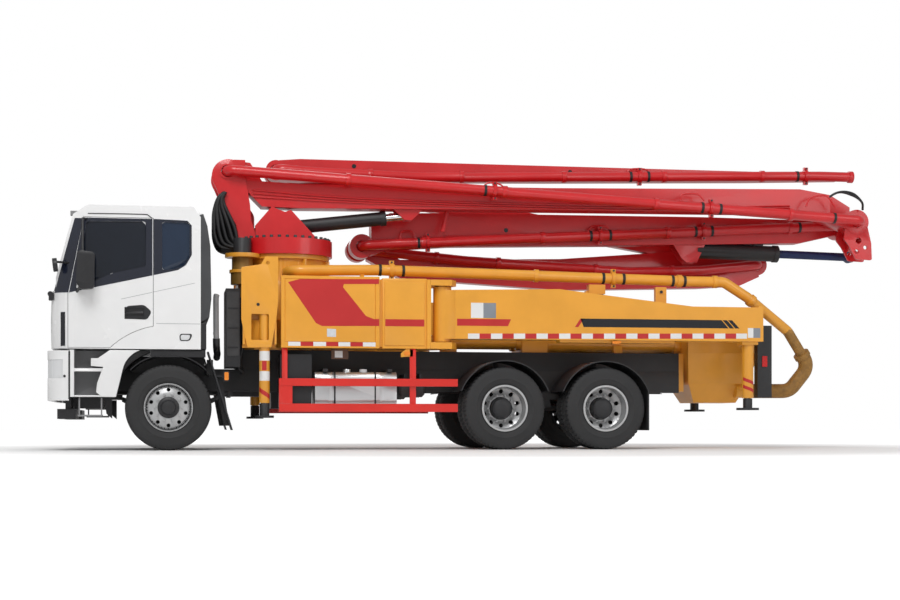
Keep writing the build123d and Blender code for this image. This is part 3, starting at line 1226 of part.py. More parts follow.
def cylinder_rod(start, end, y, rod_radius, from_start, eye_radius, width):
    """Hydraulic rod with its eye."""
    rod = rod_between(along(start, end, from_start, y), (end[0], y, end[1]), rod_radius)
    return rod + cross_rod(end[0], end[1], y - width / 2, y + width / 2, eye_radius)


def lift_barrel():
    """Barrel of the cylinder that raises the boom; it turns on the turret's pin."""
    tube = cylinder_tube(LIFT_ANCHOR, LIFT_EYE, 0, LIFT_TUBE_RADIUS, LIFT_TUBE_LENGTH, 72, 112, 90)
    tube = cylinder_bore(tube, LIFT_ANCHOR, LIFT_EYE, 0, LIFT_ROD_RADIUS, LIFT_TUBE_LENGTH, 72)
    return tube - cross_rod(*LIFT_ANCHOR, -80, 80, 40.3)


# ---------------------------------------------------------------- write the nodes
write("chassis_frame", chassis_frame())
write("front_axle", front_axle())
write("rear_axles", rear_axles())
write("engine", engine())
bumper_body, lamp_pair = bumper()
write("bumper", bumper_body)
write("headlights", Compound(children=lamp_pair))
write("front_fenders", front_fenders())
write("fuel_tank", fuel_tank())
write("side_guards", side_guards())
write("mudguards", mudguards())
write("pedestal", pedestal())
write("lockers", Compound(children=lockers()))
write("hinge_blocks", Compound(children=hinge_blocks()))
write("pump_unit", pump_unit())
write("hopper", hopper())
hopper_side_plates, hopper_end_plates = hopper_walls()
write("hopper_side_plates", Compound(children=hopper_side_plates))
write("hopper_end_plates", Compound(children=hopper_end_plates))
write("hopper_grate", hopper_grate())
write("deck_pipe", deck_pipe())
write("cab_shell", cab_shell())
write("cab_glass", Compound(children=cab_glass()))
write("cab_interior", Compound(children=cab_interior()))
write("kerb_mirrors", Compound(children=kerb_mirrors()))
for side_name, side in SIDES:
    write(f"door_{side_name}", Compound(children=door(side)))
    write(f"knuckle_{side_name}", side_copy(knuckle(), side))
    write(f"front_tyre_{side_name}", side_copy(tyre(0, FRONT_TRACK_Y), side))
    write(f"front_rim_{side_name}", side_copy(front_rim(), side))
    for axle_name, station in (("second", SECOND_AXLE), ("third", THIRD_AXLE)):
        pair = [side_copy(tyre(station, y), side) for y in rear_tyre_places()]
        write(f"{axle_name}_tyres_{side_name}", Compound(children=pair))
        write(f"{axle_name}_rims_{side_name}", side_copy(rear_rims(station), side))
    write(f"front_leg_{side_name}", front_leg(side_name, side))
    write(f"front_jack_{side_name}", side_copy(jack(JACK_STATION, JACK_Y, 410, 600, 1900, 120), side))
    write(f"rear_leg_{side_name}", rear_leg(side))
    write(f"rear_jack_{side_name}",
          side_copy(jack(REAR_JACK_STATION, REAR_JACK_Y, 520, 680, 1700, 150), side))
write("turret", turret() + riser())
ARMS = {1: arm_1, 2: arm_2, 3: arm_3, 4: arm_4, 5: arm_5}
for number, make in ARMS.items():
    write(f"arm_{number}", make() + arm_line(number))
write("lift_barrel", lift_barrel())
write("lift_rod", cylinder_rod(LIFT_ANCHOR, LIFT_EYE, 0, LIFT_ROD_RADIUS, 150, 62, 112))
write("elbow_rod", cylinder_rod(ELBOW_BASE, ELBOW_EYE, ELBOW_Y, ELBOW_ROD_RADIUS, ELBOW_ROD_START,
                                ELBOW_EYE_RADIUS, ELBOW_EYE_WIDTH))
write("tie_rod", tie_rod())
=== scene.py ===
"""Looks of the concrete pump truck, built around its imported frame.

Frame: +X forward, +Y left, +Z up, in metres, origin on the ground under the middle.
Places along the truck are stations: metres behind the front axle.
"""

import json
import logging
from dataclasses import dataclass, field
from enum import Enum
from math import cos, pi, radians, sin
from typing import Callable, Iterable, Optional, Sequence, Union

import bmesh
import bpy
import numpy as np
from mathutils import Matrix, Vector


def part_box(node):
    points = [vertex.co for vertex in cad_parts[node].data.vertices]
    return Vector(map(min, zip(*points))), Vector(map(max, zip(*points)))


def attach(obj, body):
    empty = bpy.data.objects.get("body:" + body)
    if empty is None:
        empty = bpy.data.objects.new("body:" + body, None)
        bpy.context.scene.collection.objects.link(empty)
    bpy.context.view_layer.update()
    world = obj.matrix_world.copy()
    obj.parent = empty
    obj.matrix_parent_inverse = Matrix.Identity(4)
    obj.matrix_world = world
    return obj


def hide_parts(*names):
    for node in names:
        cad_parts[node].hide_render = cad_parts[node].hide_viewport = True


logging.basicConfig(level=logging.INFO, format="%(message)s")
LOG = logging.getLogger("pump_truck")

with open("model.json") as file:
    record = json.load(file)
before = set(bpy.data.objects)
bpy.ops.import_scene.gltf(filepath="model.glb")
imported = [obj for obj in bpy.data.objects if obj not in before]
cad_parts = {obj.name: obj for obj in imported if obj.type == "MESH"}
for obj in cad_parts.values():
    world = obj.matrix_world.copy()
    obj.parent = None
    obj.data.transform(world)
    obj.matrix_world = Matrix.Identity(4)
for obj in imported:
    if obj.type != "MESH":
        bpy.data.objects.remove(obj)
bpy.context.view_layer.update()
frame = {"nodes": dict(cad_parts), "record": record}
BODY_OF_NODE = {
    node: body for body, nodes in frame["record"]["behaviour"]["bodies"].items() for node in nodes
}
FRONT_AXLE_X = sum(corner.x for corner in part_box("front_tyre_left")) / 2
WHEEL_Z = sum(corner.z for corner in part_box("front_tyre_left")) / 2
SIDES = (("left", 1.0), ("right", -1.0))
AXIS_GAP = 0.0001  # a turned profile stays this far off its axis
FOIL_THICK = 0.0015  # how far a foil stands proud of its face
FOIL_ROOT = 0.001  # how deep a foil is let into its face
MERGE_DISTANCE = 0.00002  # CAD corners closer than this are one
BEVEL_ANGLE = 38.0  # degrees; sharper edges are rounded
BEVEL_STEPS = 2
SHARP_ANGLE = 30.0  # degrees; edges sharper than this stay sharp
PANEL_EDGE = 0.006  # rounded edge of a large panel
PLATE_EDGE = 0.004  # of plates and profiles
SMALL_EDGE = 0.003  # of small parts
BUMP_DEPTH = 0.002
COAT_ROUGHNESS = 0.12
GLOSS_SPREAD = 0.08  # roughness moves this far either way


def at(station: float) -> float:
    """X of a station: the front axle's x less the station.

    Args:
        station: metres behind the front axle.

    Returns:
        Its x in the row frame.
    """
    return FRONT_AXLE_X - station


class Grain(Enum):
    """How a finish varies over its surface."""

    SMOOTH = "smooth"
    DUSTY = "dusty"
    BRUSHED = "brushed"
    PEBBLED = "pebbled"


@dataclass(frozen=True)
class Finish:
    """A surface finish and the record's material slot that it belongs to."""

    name: str
    slot: str
    colour: tuple[float, float, float]
    roughness: float = 0.4
    metallic: float = 0.0
    coat: float = 0.0
    variation: float = 0.05
    scale: float = 3.0
    bump: float = 0.0
    grain: Grain = Grain.SMOOTH
    transmission: float = 0.0

    def material(self) -> bpy.types.Material:
        """Node material of the finish, made once.

        The colour is mixed between a darker and a lighter tone by noise on Object coordinates, and
        the roughness moves with the same noise.

        Returns:
            The material.
        """
        made = bpy.data.materials.get(self.name)
        if made is not None:
            return made
        made = bpy.data.materials.new(self.name)
        made.use_nodes = True
        tree = made.node_tree
        shader = tree.nodes["Principled BSDF"]
        shader.inputs["Metallic"].default_value = self.metallic
        shader.inputs["Coat Weight"].default_value = self.coat
        shader.inputs["Coat Roughness"].default_value = COAT_ROUGHNESS
        shader.inputs["Transmission Weight"].default_value = self.transmission
        place = tree.nodes.new("ShaderNodeTexCoord")
        noise = tree.nodes.new("ShaderNodeTexNoise")
        noise.inputs["Scale"].default_value = self.scale
        detail, rough = (4.0, 0.5) if self.grain is Grain.SMOOTH else (9.0, 0.7)
        noise.inputs["Detail"].default_value = detail
        noise.inputs["Roughness"].default_value = rough
        if self.grain is Grain.BRUSHED:
            stretch = tree.nodes.new("ShaderNodeMapping")
            stretch.inputs["Scale"].default_value = (1.0, 1.0, 14.0)
            tree.links.new(place.outputs["Object"], stretch.inputs["Vector"])
            tree.links.new(stretch.outputs["Vector"], noise.inputs["Vector"])
        else:
            tree.links.new(place.outputs["Object"], noise.inputs["Vector"])
        tones = tree.nodes.new("ShaderNodeValToRGB")
        spread = self.variation
        tones.color_ramp.elements[0].position = 0.3
        tones.color_ramp.elements[1].position = 0.7
        darker = [c * (1.0 - spread) for c in self.colour]
        lighter = [min(1.0, c * (1.0 + spread)) for c in self.colour]
        tones.color_ramp.elements[0].color = (*darker, 1.0)
        tones.color_ramp.elements[1].color = (*lighter, 1.0)
        tree.links.new(noise.outputs["Fac"], tones.inputs["Fac"])
        tree.links.new(tones.outputs["Color"], shader.inputs["Base Color"])
        gloss = tree.nodes.new("ShaderNodeMapRange")
        gloss.inputs["To Min"].default_value = max(0.02, self.roughness - GLOSS_SPREAD)
        gloss.inputs["To Max"].default_value = min(1.0, self.roughness + GLOSS_SPREAD)
        tree.links.new(noise.outputs["Fac"], gloss.inputs["Value"])
        tree.links.new(gloss.outputs["Result"], shader.inputs["Roughness"])
        if self.bump > 0.0:
            fine = tree.nodes.new("ShaderNodeTexNoise")
            fine.inputs["Scale"].default_value = 90.0 if self.grain is Grain.PEBBLED else 30.0
            fine.inputs["Detail"].default_value = 5.0
            relief = tree.nodes.new("ShaderNodeBump")
            relief.inputs["Strength"].default_value = self.bump
            relief.inputs["Distance"].default_value = BUMP_DEPTH
            tree.links.new(place.outputs["Object"], fine.inputs["Vector"])
            tree.links.new(fine.outputs["Fac"], relief.inputs["Height"])
            tree.links.new(relief.outputs["Normal"], shader.inputs["Normal"])
        made.diffuse_color = (*self.colour, 1.0)
        return made


BOOM_RED = Finish("boom_red", "boom_paint", (0.60, 0.008, 0.012), 0.34, coat=0.3, variation=0.06)
DECK_YELLOW = Finish(
    "deck_yellow", "deck_paint", (0.78, 0.345, 0.03), 0.36, coat=0.25, variation=0.05,
)
CAB_WHITE = Finish("cab_white", "cab_paint", (0.80, 0.80, 0.80), 0.25, coat=0.5, variation=0.02)
FRAME_BLACK = Finish(
    "frame_black", "black_steel", (0.018, 0.018, 0.02), 0.5, variation=0.25, grain=Grain.DUSTY,
)
GUARD_RED = Finish("guard_red", "red_paint", (0.68, 0.018, 0.010), 0.33, coat=0.3, variation=0.05)
CAST_GREY = Finish(
    "cast_grey", "grey_steel", (0.05, 0.05, 0.052), 0.6, metallic=0.3, variation=0.3, bump=0.3,
    grain=Grain.DUSTY,
)
ROD_CHROME = Finish(
    "rod_chrome", "rod_chrome", (0.62, 0.63, 0.65), 0.14, metallic=1.0, variation=0.03,
)
TANK_ALUMINIUM = Finish(
    "tank_aluminium", "tank_aluminium", (0.25, 0.255, 0.26), 0.32, metallic=0.75, variation=0.06,
    grain=Grain.BRUSHED,
)
RIM_SILVER = Finish(
    "rim_silver", "rim_steel", (0.50, 0.505, 0.51), 0.30, metallic=0.5, coat=0.2, variation=0.05,
)
TYRE_BLACK = Finish(
    "tyre_black", "tyre_rubber", (0.022, 0.022, 0.023), 0.72, variation=0.2, bump=0.25,
    grain=Grain.PEBBLED,
)
TRIM_BLACK = Finish(
    "trim_black", "black_plastic", (0.014, 0.014, 0.016), 0.42, variation=0.15, bump=0.15,
    grain=Grain.PEBBLED,
)
GLOSS_BLACK = Finish(
    "gloss_black", "black_plastic", (0.008, 0.009, 0.013), 0.12, coat=0.4, variation=0.05,
)
RUBBER_HOSE = Finish("rubber_hose", "black_plastic", (0.012, 0.012, 0.013), 0.5, variation=0.15)
PANE = Finish("pane", "pane_glass", (0.010, 0.014, 0.024), 0.05, transmission=0.25, variation=0.02)
LENS = Finish("lens", "lamp_glass", (0.78, 0.79, 0.80), 0.08, transmission=0.15, variation=0.01)
AMBER = Finish("amber", "lamp_glass", (0.85, 0.25, 0.02), 0.15, coat=0.4, variation=0.04)
LAMP_RED = Finish("lamp_red", "lamp_glass", (0.55, 0.01, 0.01), 0.15, coat=0.4, variation=0.04)
TAPE_WHITE = Finish("tape_white", "cab_paint", (0.75, 0.75, 0.74), 0.35, variation=0.03)
TAPE_RED = Finish("tape_red", "red_paint", (0.50, 0.02, 0.02), 0.35, variation=0.04)
PLATE_GREY = Finish("plate_grey", "rim_steel", (0.60, 0.62, 0.64), 0.4, variation=0.1, scale=12.0)
SLEEVE_BLUE = Finish(
    "sleeve_blue", "rod_chrome", (0.004, 0.018, 0.10), 0.55, variation=0.3, bump=0.3,
)
SEAT_GREY = Finish(
    "seat_grey", "seat_fabric", (0.05, 0.05, 0.055), 0.8, variation=0.15, bump=0.3,
    grain=Grain.PEBBLED,
)
# Darker yellow painted as shade on the lower part of the slewing drive beside the pedestal.
DRIVE_SHADE_YELLOW = Finish(
    "drive_shade_yellow", "grey_steel", (0.30, 0.16, 0.03), 0.5, metallic=0.3, variation=0.2, grain=Grain.DUSTY,
)
FENDER_GREY = Finish("fender_grey", "black_plastic", (0.24, 0.24, 0.245), 0.6, variation=0.1)
BAND_NAVY = Finish(
    "band_navy", "black_plastic", (0.010, 0.013, 0.026), 0.16, coat=0.5, variation=0.08,
)
# Grey of the cab's pressed lines: painted shade of their creases.
CREASE_SHADE_GREY = Finish("crease_shade_grey", "black_plastic", (0.32, 0.33, 0.34), 0.5, variation=0.05)
LABEL_GREY = Finish("label_grey", "rim_steel", (0.22, 0.24, 0.27), 0.45, variation=0.08)
PLATE_BROWN = Finish(
    "plate_brown", "grey_steel", (0.10, 0.05, 0.03), 0.6, variation=0.2, grain=Grain.DUSTY,
)
# Darker yellow painted as shade on the hopper's outlet and the deck pipe's bend behind it, mottled
# by its dusty grain.
SHADED_YELLOW = Finish(
    "shaded_yellow", "deck_paint", (0.30, 0.15, 0.03), 0.6, variation=0.35, scale=8.0,
    grain=Grain.DUSTY,
)
QUARTER_PANE = Finish(
    "quarter_pane", "pane_glass", (0.016, 0.030, 0.060), 0.05, transmission=0.1, variation=0.02,
)
REAR_GREY = Finish("rear_grey", "black_plastic", (0.045, 0.047, 0.05), 0.55, variation=0.15)

Points = Sequence[tuple[float, float]]
Part = tuple[np.ndarray, list[list[int]]]
Chooser = Callable[[np.ndarray], np.ndarray]


@dataclass
class Surface:
    """Vertices and faces of one piece while it is worked out."""

    points: list[np.ndarray] = field(default_factory=list)
    faces: list[list[int]] = field(default_factory=list)
    tints: list[int] = field(default_factory=list)
    count: int = 0

    def add(self, points: np.ndarray, faces: Iterable[Sequence[int]], tint: int = 0) -> None:
        """Adds a part.

        Args:
            points: N by 3 array in the row frame.
            faces: vertex numbers of each face, from 0 within the part.
            tint: material number of the part.
        """
        base = self.count
        new = [[base + int(v) for v in face] for face in faces]
        self.points.append(np.asarray(points, float))
        self.faces.extend(new)
        self.tints.extend([tint] * len(new))
        self.count += len(points)

    def on_side(self, part: Part, side: float, tint: int = 0) -> None:
        """Adds a part of the left side, or its mirror image on the right.

        Args:
            part: points and faces as they are on the left.
            side: 1 left, -1 right.
            tint: material number.
        """
        self.add(*flipped(part, side), tint)

    def copies(
        self, points: np.ndarray, faces: Sequence[Sequence[int]], shifts: np.ndarray, tint: int = 0
    ) -> None:
        """Adds one small part at many places.

        Args:
            points: N by 3 array of the part.
            faces: its faces.
            shifts: M by 3 array of where its origin goes.
            tint: material number.
        """
        for shift in np.asarray(shifts, float):
            self.add(points + shift, faces, tint)

    def piece(
        self, name: str, body: str, finishes: Sequence[Finish], bevel: float = 0.0,
        smooth: float = SHARP_ANGLE, stands_for: Sequence[str] = (),
    ) -> bpy.types.Object:
        """Makes the object, dresses it and has it ride on its body.

        Args:
            name: the piece's name.
            body: CAD body that it moves with.
            finishes: finish of each material number.
            bevel: width of the rounded edges, in metres.
            smooth: edges sharper than this many degrees stay sharp.
            stands_for: CAD nodes that it takes the place of.

        Returns:
            The object.
        """
        mesh = bpy.data.meshes.new(name)
        mesh.from_pydata(np.vstack(self.points).tolist(), [], self.faces)
        for finish in finishes:
            mesh.materials.append(finish.material())
        mesh.polygons.foreach_set("material_index", np.array(self.tints, np.int32))
        return finish_piece(mesh, name, body, bevel, smooth, stands_for)


def finish_piece(
    mesh: bpy.types.Mesh, name: str, body: str, bevel: float, smooth: float,
    stands_for: Sequence[str],
) -> bpy.types.Object:
    """Object of a mesh with smooth shading, rounded edges and its body.

    Args:
        mesh: the mesh, in the row frame.
        name: the piece's name.
        body: CAD body that it moves with.
        bevel: width of rounded edges, or 0.
        smooth: edges sharper than this many degrees stay sharp.
        stands_for: CAD nodes that it takes the place of.

    Returns:
        The object.
    """
    mesh.update()
    mesh.polygons.foreach_set("use_smooth", np.ones(len(mesh.polygons), bool))
    mesh.set_sharp_from_angle(angle=radians(smooth))
    thing = bpy.data.objects.new(name, mesh)
    bpy.context.scene.collection.objects.link(thing)
    if bevel > 0.0:
        rounding = thing.modifiers.new("rounded edges", "BEVEL")
        rounding.width = bevel
        rounding.segments = BEVEL_STEPS
        rounding.limit_method = "ANGLE"
        rounding.angle_limit = radians(BEVEL_ANGLE)
        rounding.harden_normals = True
    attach(thing, body)
    if stands_for:
        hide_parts(*stands_for)
    LOG.info("piece %s on %s", name, body)
    return thing


def dressed(
    node: str, finishes: Sequence[Finish], chooser: Optional[Chooser] = None,
    bevel: float = PLATE_EDGE, smooth: float = SHARP_ANGLE,
) -> bpy.types.Object:
    """Merged copy of a CAD node, with rounded edges, that stands for it.

    Args:
        node: the CAD node.
        finishes: its finishes.
        chooser: gives each face's finish number from an N by 3 array of face centres.
        bevel: width of rounded edges.
        smooth: edges sharper than this many degrees stay sharp.

    Returns:
        The object.
    """
    mesh = frame["nodes"][node].data.copy()
    work = bmesh.new()
    work.from_mesh(mesh)
    bmesh.ops.remove_doubles(work, verts=work.verts, dist=MERGE_DISTANCE)
    work.to_mesh(mesh)
    work.free()
    mesh.materials.clear()
    for finish in finishes:
        mesh.materials.append(finish.material())
    chosen = np.zeros(len(mesh.polygons), np.int32)
    if chooser is not None:
        centres = np.empty(len(mesh.polygons) * 3)
        mesh.polygons.foreach_get("center", centres)
        chosen = chooser(centres.reshape(-1, 3)).astype(np.int32)
    mesh.polygons.foreach_set("material_index", chosen)
    name = f"{node}_dressed"
    return finish_piece(mesh, name, BODY_OF_NODE[node], bevel, smooth, [node])


# ---------------------------------------------------------------- shapes


def box_part(low: Sequence[float], high: Sequence[float]) -> Part:
    """Box from its corners: the eight combinations of low and high.

    Args:
        low: its smallest x, y and z.
        high: its largest x, y and z.

    Returns:
        Eight points and six outward faces.
    """
    ends = np.array([low, high], float)
    pick = np.array([[i, j, k] for i in (0, 1) for j in (0, 1) for k in (0, 1)])
    points = np.take_along_axis(ends.T, pick.T, axis=1).T
    faces = [[0, 1, 3, 2], [4, 6, 7, 5], [0, 4, 5, 1], [2, 3, 7, 6], [0, 2, 6, 4], [1, 5, 7, 3]]
    return points, faces


def station_box(
    front: float, rear: float, y_low: float, y_high: float, z_low: float, z_high: float
) -> Part:
    """Box given by its stations, y range and levels.

    Args:
        front: station of its front face.
        rear: station of its rear face.
        y_low: its smallest y.
        y_high: its largest y.
        z_low: its underside.
        z_high: its top.

    Returns:
        Points and faces.
    """
    return box_part((at(rear), y_low, z_low), (at(front), y_high, z_high))


def twice_area(rows: np.ndarray) -> float:
    """Twice an outline's signed area: the sum of x times the next y less the next x times y.

    Args:
        rows: N by 2 array of its corners.

    Returns:
        The sum, above zero where the corners run counter-clockwise.
    """
    onward = np.roll(rows, -1, axis=0)
    return float(np.sum(rows[:, 0] * onward[:, 1] - onward[:, 0] * rows[:, 1]))


def disc_profile(radius: float, low: float, high: float) -> list[tuple[float, float]]:
    """Profile of a plain disc for ring_part.

    Args:
        radius: of the disc.
        low: where it starts along the axis.
        high: where it ends.

    Returns:
        (radius, distance) points of half its section.
    """
    return [(AXIS_GAP, low), (radius, low), (radius, high), (AXIS_GAP, high)]


def ring_part(
    profile: Points, centre: Sequence[float], segments: int = 48, axis: str = "Y"
) -> Part:
    """Closed profile carried round an axis.

    A point at angle t lies its radius times (cos t, sin t) across the axis.

    Args:
        profile: (radius, distance along the axis) points of a closed outline.
        centre: where the axis passes.
        segments: steps round the circle.
        axis: "X", "Y" or "Z".

    Returns:
        Points and quads.
    """
    rows = np.array(profile, float)
    turn = np.linspace(0.0, 2.0 * pi, segments, endpoint=False)
    across = rows[:, 0][None, :] * np.cos(turn)[:, None]
    up = rows[:, 0][None, :] * np.sin(turn)[:, None]
    along = np.broadcast_to(rows[:, 1][None, :], across.shape)
    order = {"X": (along, across, up), "Y": (up, along, across), "Z": (across, up, along)}[axis]
    points = np.stack(order, axis=-1).reshape(-1, 3) + np.array(centre, float)
    n, m = segments, len(rows)
    i, j = np.meshgrid(np.arange(n), np.arange(m), indexing="ij")
    here, onward = i * m, ((i + 1) % n) * m
    beside = (j + 1) % m
    quads = np.stack([here + j, onward + j, onward + beside, here + beside], axis=-1).reshape(-1, 4)
    if twice_area(rows) > 0:
        quads = quads[:, ::-1]
    return points, quads.tolist()


def tube_part(path: np.ndarray, radius: float, sides: int = 12) -> Part:
    """Circle carried along a path.

    At each point it lies square to the mean of the two directions there.

    Args:
        path: M by 3 array.
        radius: of the circle.
        sides: points of the circle.

    Returns:
        Points and faces, with closed ends.
    """
    path = np.asarray(path, float)
    way = np.gradient(path, axis=0)
    way /= np.linalg.norm(way, axis=1)[:, None]
    spread = np.ptp(path, axis=0)
    helper = np.eye(3)[int(np.argmin(spread))]
    first = np.cross(way, helper)
    first /= np.linalg.norm(first, axis=1)[:, None]
    second = np.cross(way, first)
    turn = np.linspace(0.0, 2.0 * pi, sides, endpoint=False)
    across = np.cos(turn)[None, :, None] * first[:, None, :]
    up = np.sin(turn)[None, :, None] * second[:, None, :]
    points = (path[:, None, :] + radius * (across + up)).reshape(-1, 3)
    m = len(path)
    i, j = np.meshgrid(np.arange(m - 1), np.arange(sides), indexing="ij")
    here, onward = i * sides, (i + 1) * sides
    beside = (j + 1) % sides
    quads = np.stack([here + j, here + beside, onward + beside, onward + j], axis=-1)
    quads = quads.reshape(-1, 4).tolist()
    quads.append(list(range(sides))[::-1])
    quads.append(list(range((m - 1) * sides, m * sides)))
    return points, quads


def smooth_path(corners: Sequence[Sequence[float]], steps: int = 40) -> np.ndarray:
    """Smooth curve through points: a Catmull-Rom blend of each four neighbours.

    Args:
        corners: points as (station, y, z).
        steps: points of the curve.

    Returns:
        M by 3 array in the row frame.
    """
    stops = np.array([(at(s), y, z) for s, y, z in corners], float)
    full = np.vstack([2 * stops[0] - stops[1], stops, 2 * stops[-1] - stops[-2]])
    where = np.linspace(0, len(stops) - 1, steps)
    index = np.minimum(where.astype(int), len(stops) - 2)
    t = (where - index)[:, None]
    a, b, c, d = (full[index + k] for k in range(4))
    square = (2 * a - 5 * b + 4 * c - d) * t ** 2
    cube = (3 * b - a - 3 * c + d) * t ** 3
    return 0.5 * (2 * b + (c - a) * t + square + cube)


def side_plate(outline: Points, y_low: float, y_high: float) -> Part:
    """Flat plate across Y: its outline twice, with quads round its edge.

    Args:
        outline: (station, height) corners.
        y_low: its inner face.
        y_high: its outer face.

    Returns:
        Points and faces.
    """
    rows = np.array([(at(s), z) for s, z in outline], float)
    if twice_area(rows) > 0:
        rows = rows[::-1]
    n = len(rows)
    near = np.column_stack([rows[:, 0], np.full(n, y_high), rows[:, 1]])
    far = np.column_stack([rows[:, 0], np.full(n, y_low), rows[:, 1]])
    faces = [list(range(n)), list(range(2 * n - 1, n - 1, -1))]
    faces += [[i, n + i, n + (i + 1) % n, (i + 1) % n] for i in range(n)]
    return np.vstack([near, far]), faces


def flipped(part: Part, side: float) -> Part:
    """The part itself, or its mirror image with the faces turned.

    Args:
        part: points and faces on the left.
        side: 1 left, -1 right.

    Returns:
        The part of that side.
    """
    if side > 0:
        return part
    points, faces = part
    return points * np.array([1.0, -1.0, 1.0]), [list(face)[::-1] for face in faces]


def outward(points: np.ndarray, faces: list[list[int]]) -> Part:
    """A closed part with its faces turned outwards.

    The sum of a.(b x c) over its triangles is six times its volume, below zero where they face in.

    Args:
        points: N by 3 array.
        faces: its faces, all turned the same way.

    Returns:
        The points and the faces, turned where needed.
    """
    tris = np.array([
        [face[0], face[k], face[k + 1]] for face in faces for k in range(1, len(face) - 1)
    ])
    a, b, c = (points[tris[:, k]] for k in range(3))
    if np.einsum("ij,ij->i", a, np.cross(b, c)).sum() < 0:
        return points, [list(face)[::-1] for face in faces]
    return points, faces


def rounded(outline: Points, radius: float, steps: int = 6) -> list[tuple[float, float]]:
    """Outline with blended corners.

    Each corner c between neighbours a and b becomes the curve (1-t)^2 p + 2t(1-t) c + t^2 q,
    where p and q lie on the two edges, one radius away from c.

    Args:
        outline: (station, height) corners.
        radius: distance at which the blend leaves an edge.
        steps: points of each blend.

    Returns:
        The new outline.
    """
    rows = np.array(outline, float)
    ends = []
    for shift in (1, -1):
        way = np.roll(rows, shift, axis=0) - rows
        length = np.linalg.norm(way, axis=1)[:, None]
        ends.append(rows + way * np.minimum(radius / length, 0.45))
    t = np.linspace(0.0, 1.0, steps)[None, :, None]
    before, after = ends[0][:, None], ends[1][:, None]
    curve = (1 - t) ** 2 * before + 2 * t * (1 - t) * rows[:, None] + t ** 2 * after
    return [tuple(row) for row in curve.reshape(-1, 2)]


def reach(outline: np.ndarray, centre: np.ndarray, angles: np.ndarray) -> np.ndarray:
    """Distance from a point to a closed outline: each ray is crossed with every edge.

    Args:
        outline: N by 2 array of its corners.
        centre: the point, inside it.
        angles: directions of the rays, in radians.

    Returns:
        The distance along each ray.
    """
    start = outline - centre
    edge = np.roll(outline, -1, axis=0) - outline
    ray = np.column_stack([np.cos(angles), np.sin(angles)])
    cross = ray[:, None, 0] * edge[None, :, 1] - ray[:, None, 1] * edge[None, :, 0]
    cross = np.where(np.abs(cross) < 1e-12, 1e-12, cross)
    across, up = start[None, :, 0], start[None, :, 1]
    far = (across * edge[None, :, 1] - up * edge[None, :, 0]) / cross
    along = (across * ray[:, None, 1] - up * ray[:, None, 0]) / cross
    hit = (far > 0) & (along > -1e-6) & (along < 1 + 1e-6)
    return np.where(hit, far, 0.0).max(axis=1)


def ring_plate(outer: Points, inner: Points, y_low: float, y_high: float) -> Part:
    """Flat frame between two outlines that share a centre.

    Args:
        outer: (station, height) corners of its outside.
        inner: corners of its opening.
        y_low: its inner face.
        y_high: its outer face.

    Returns:
        Points and quads. Each corner of either outline gives a spoke, at one angle on both.
    """
    out, hole = np.array(outer, float), np.array(inner, float)
    centre = hole.mean(axis=0)
    both = np.vstack([out, hole]) - centre
    angles = np.unique(np.round(np.arctan2(both[:, 1], both[:, 0]), 6))
    ray = np.column_stack([np.cos(angles), np.sin(angles)])
    loops = [centre + ray * reach(outline, centre, angles)[:, None] for outline in (out, hole)]
    flat = [(loops[0], y_high), (loops[1], y_high), (loops[1], y_low), (loops[0], y_low)]
    points = np.vstack([
        np.column_stack([at(0.0) - loop[:, 0], np.full(len(loop), y), loop[:, 1]])
        for loop, y in flat
    ])
    n = len(angles)
    i, j = np.meshgrid(np.arange(4), np.arange(n), indexing="ij")
    here, onward = i * n, ((i + 1) % 4) * n
    beside = (j + 1) % n
    quads = np.stack([here + j, here + beside, onward + beside, onward + j], axis=-1)
    return outward(points, quads.reshape(-1, 4).tolist())


def sheet_part(outer: np.ndarray, inner: np.ndarray) -> Part:
    """Closed thin sheet between two grids of points, joined round their rims.

    Args:
        outer: n by m by 3 array of its outer face.
        inner: n by m by 3 array of its inner face.

    Returns:
        Points and faces.
    """
    n, m = outer.shape[:2]
    i, j = np.meshgrid(np.arange(n - 1), np.arange(m - 1), indexing="ij")
    here, onward = i * m + j, (i + 1) * m + j
    top = np.stack([here, onward, onward + 1, here + 1], axis=-1).reshape(-1, 4)
    faces = top.tolist() + (top[:, ::-1] + n * m).tolist()
    rim = [
        *range(m - 1), *range(m - 1, n * m - 1, m),
        *range(n * m - 1, (n - 1) * m, -1), *range((n - 1) * m, 0, -m),
    ]
    faces += [[b, a, a + n * m, b + n * m] for a, b in zip(rim, rim[1:] + rim[:1])]
    return outward(np.vstack([outer.reshape(-1, 3), inner.reshape(-1, 3)]), faces)


def decal(outline: Points, face_y: float) -> Part:
    """Thin foil on a flat side: a plate that stands a little proud of it.

    Args:
        outline: (station, height) corners.
        face_y: y of the side.

    Returns:
        Points and faces.
    """
    return side_plate(outline, face_y - FOIL_ROOT, face_y + FOIL_THICK)


def band(
    bar: Sequence[Sequence[float]], fraction: float, radius: float, width: float, sides: int = 24
) -> Part:
    """Ring round a straight pipe.

    Args:
        bar: start and end of the pipe as (station, y, z).
        fraction: how far along it the ring sits.
        radius: of the ring's outside.
        width: along the pipe.
        sides: of the ring.

    Returns:
        Points and faces of a short closed cylinder about the pipe.
    """
    ends = np.array([(at(s), y, z) for s, y, z in bar], float)
    way = ends[1] - ends[0]
    way /= np.linalg.norm(way)
    middle = ends[0] + (ends[1] - ends[0]) * fraction
    path = np.array([middle - way * width / 2, middle + way * width / 2])
    return tube_part(path, radius, sides)


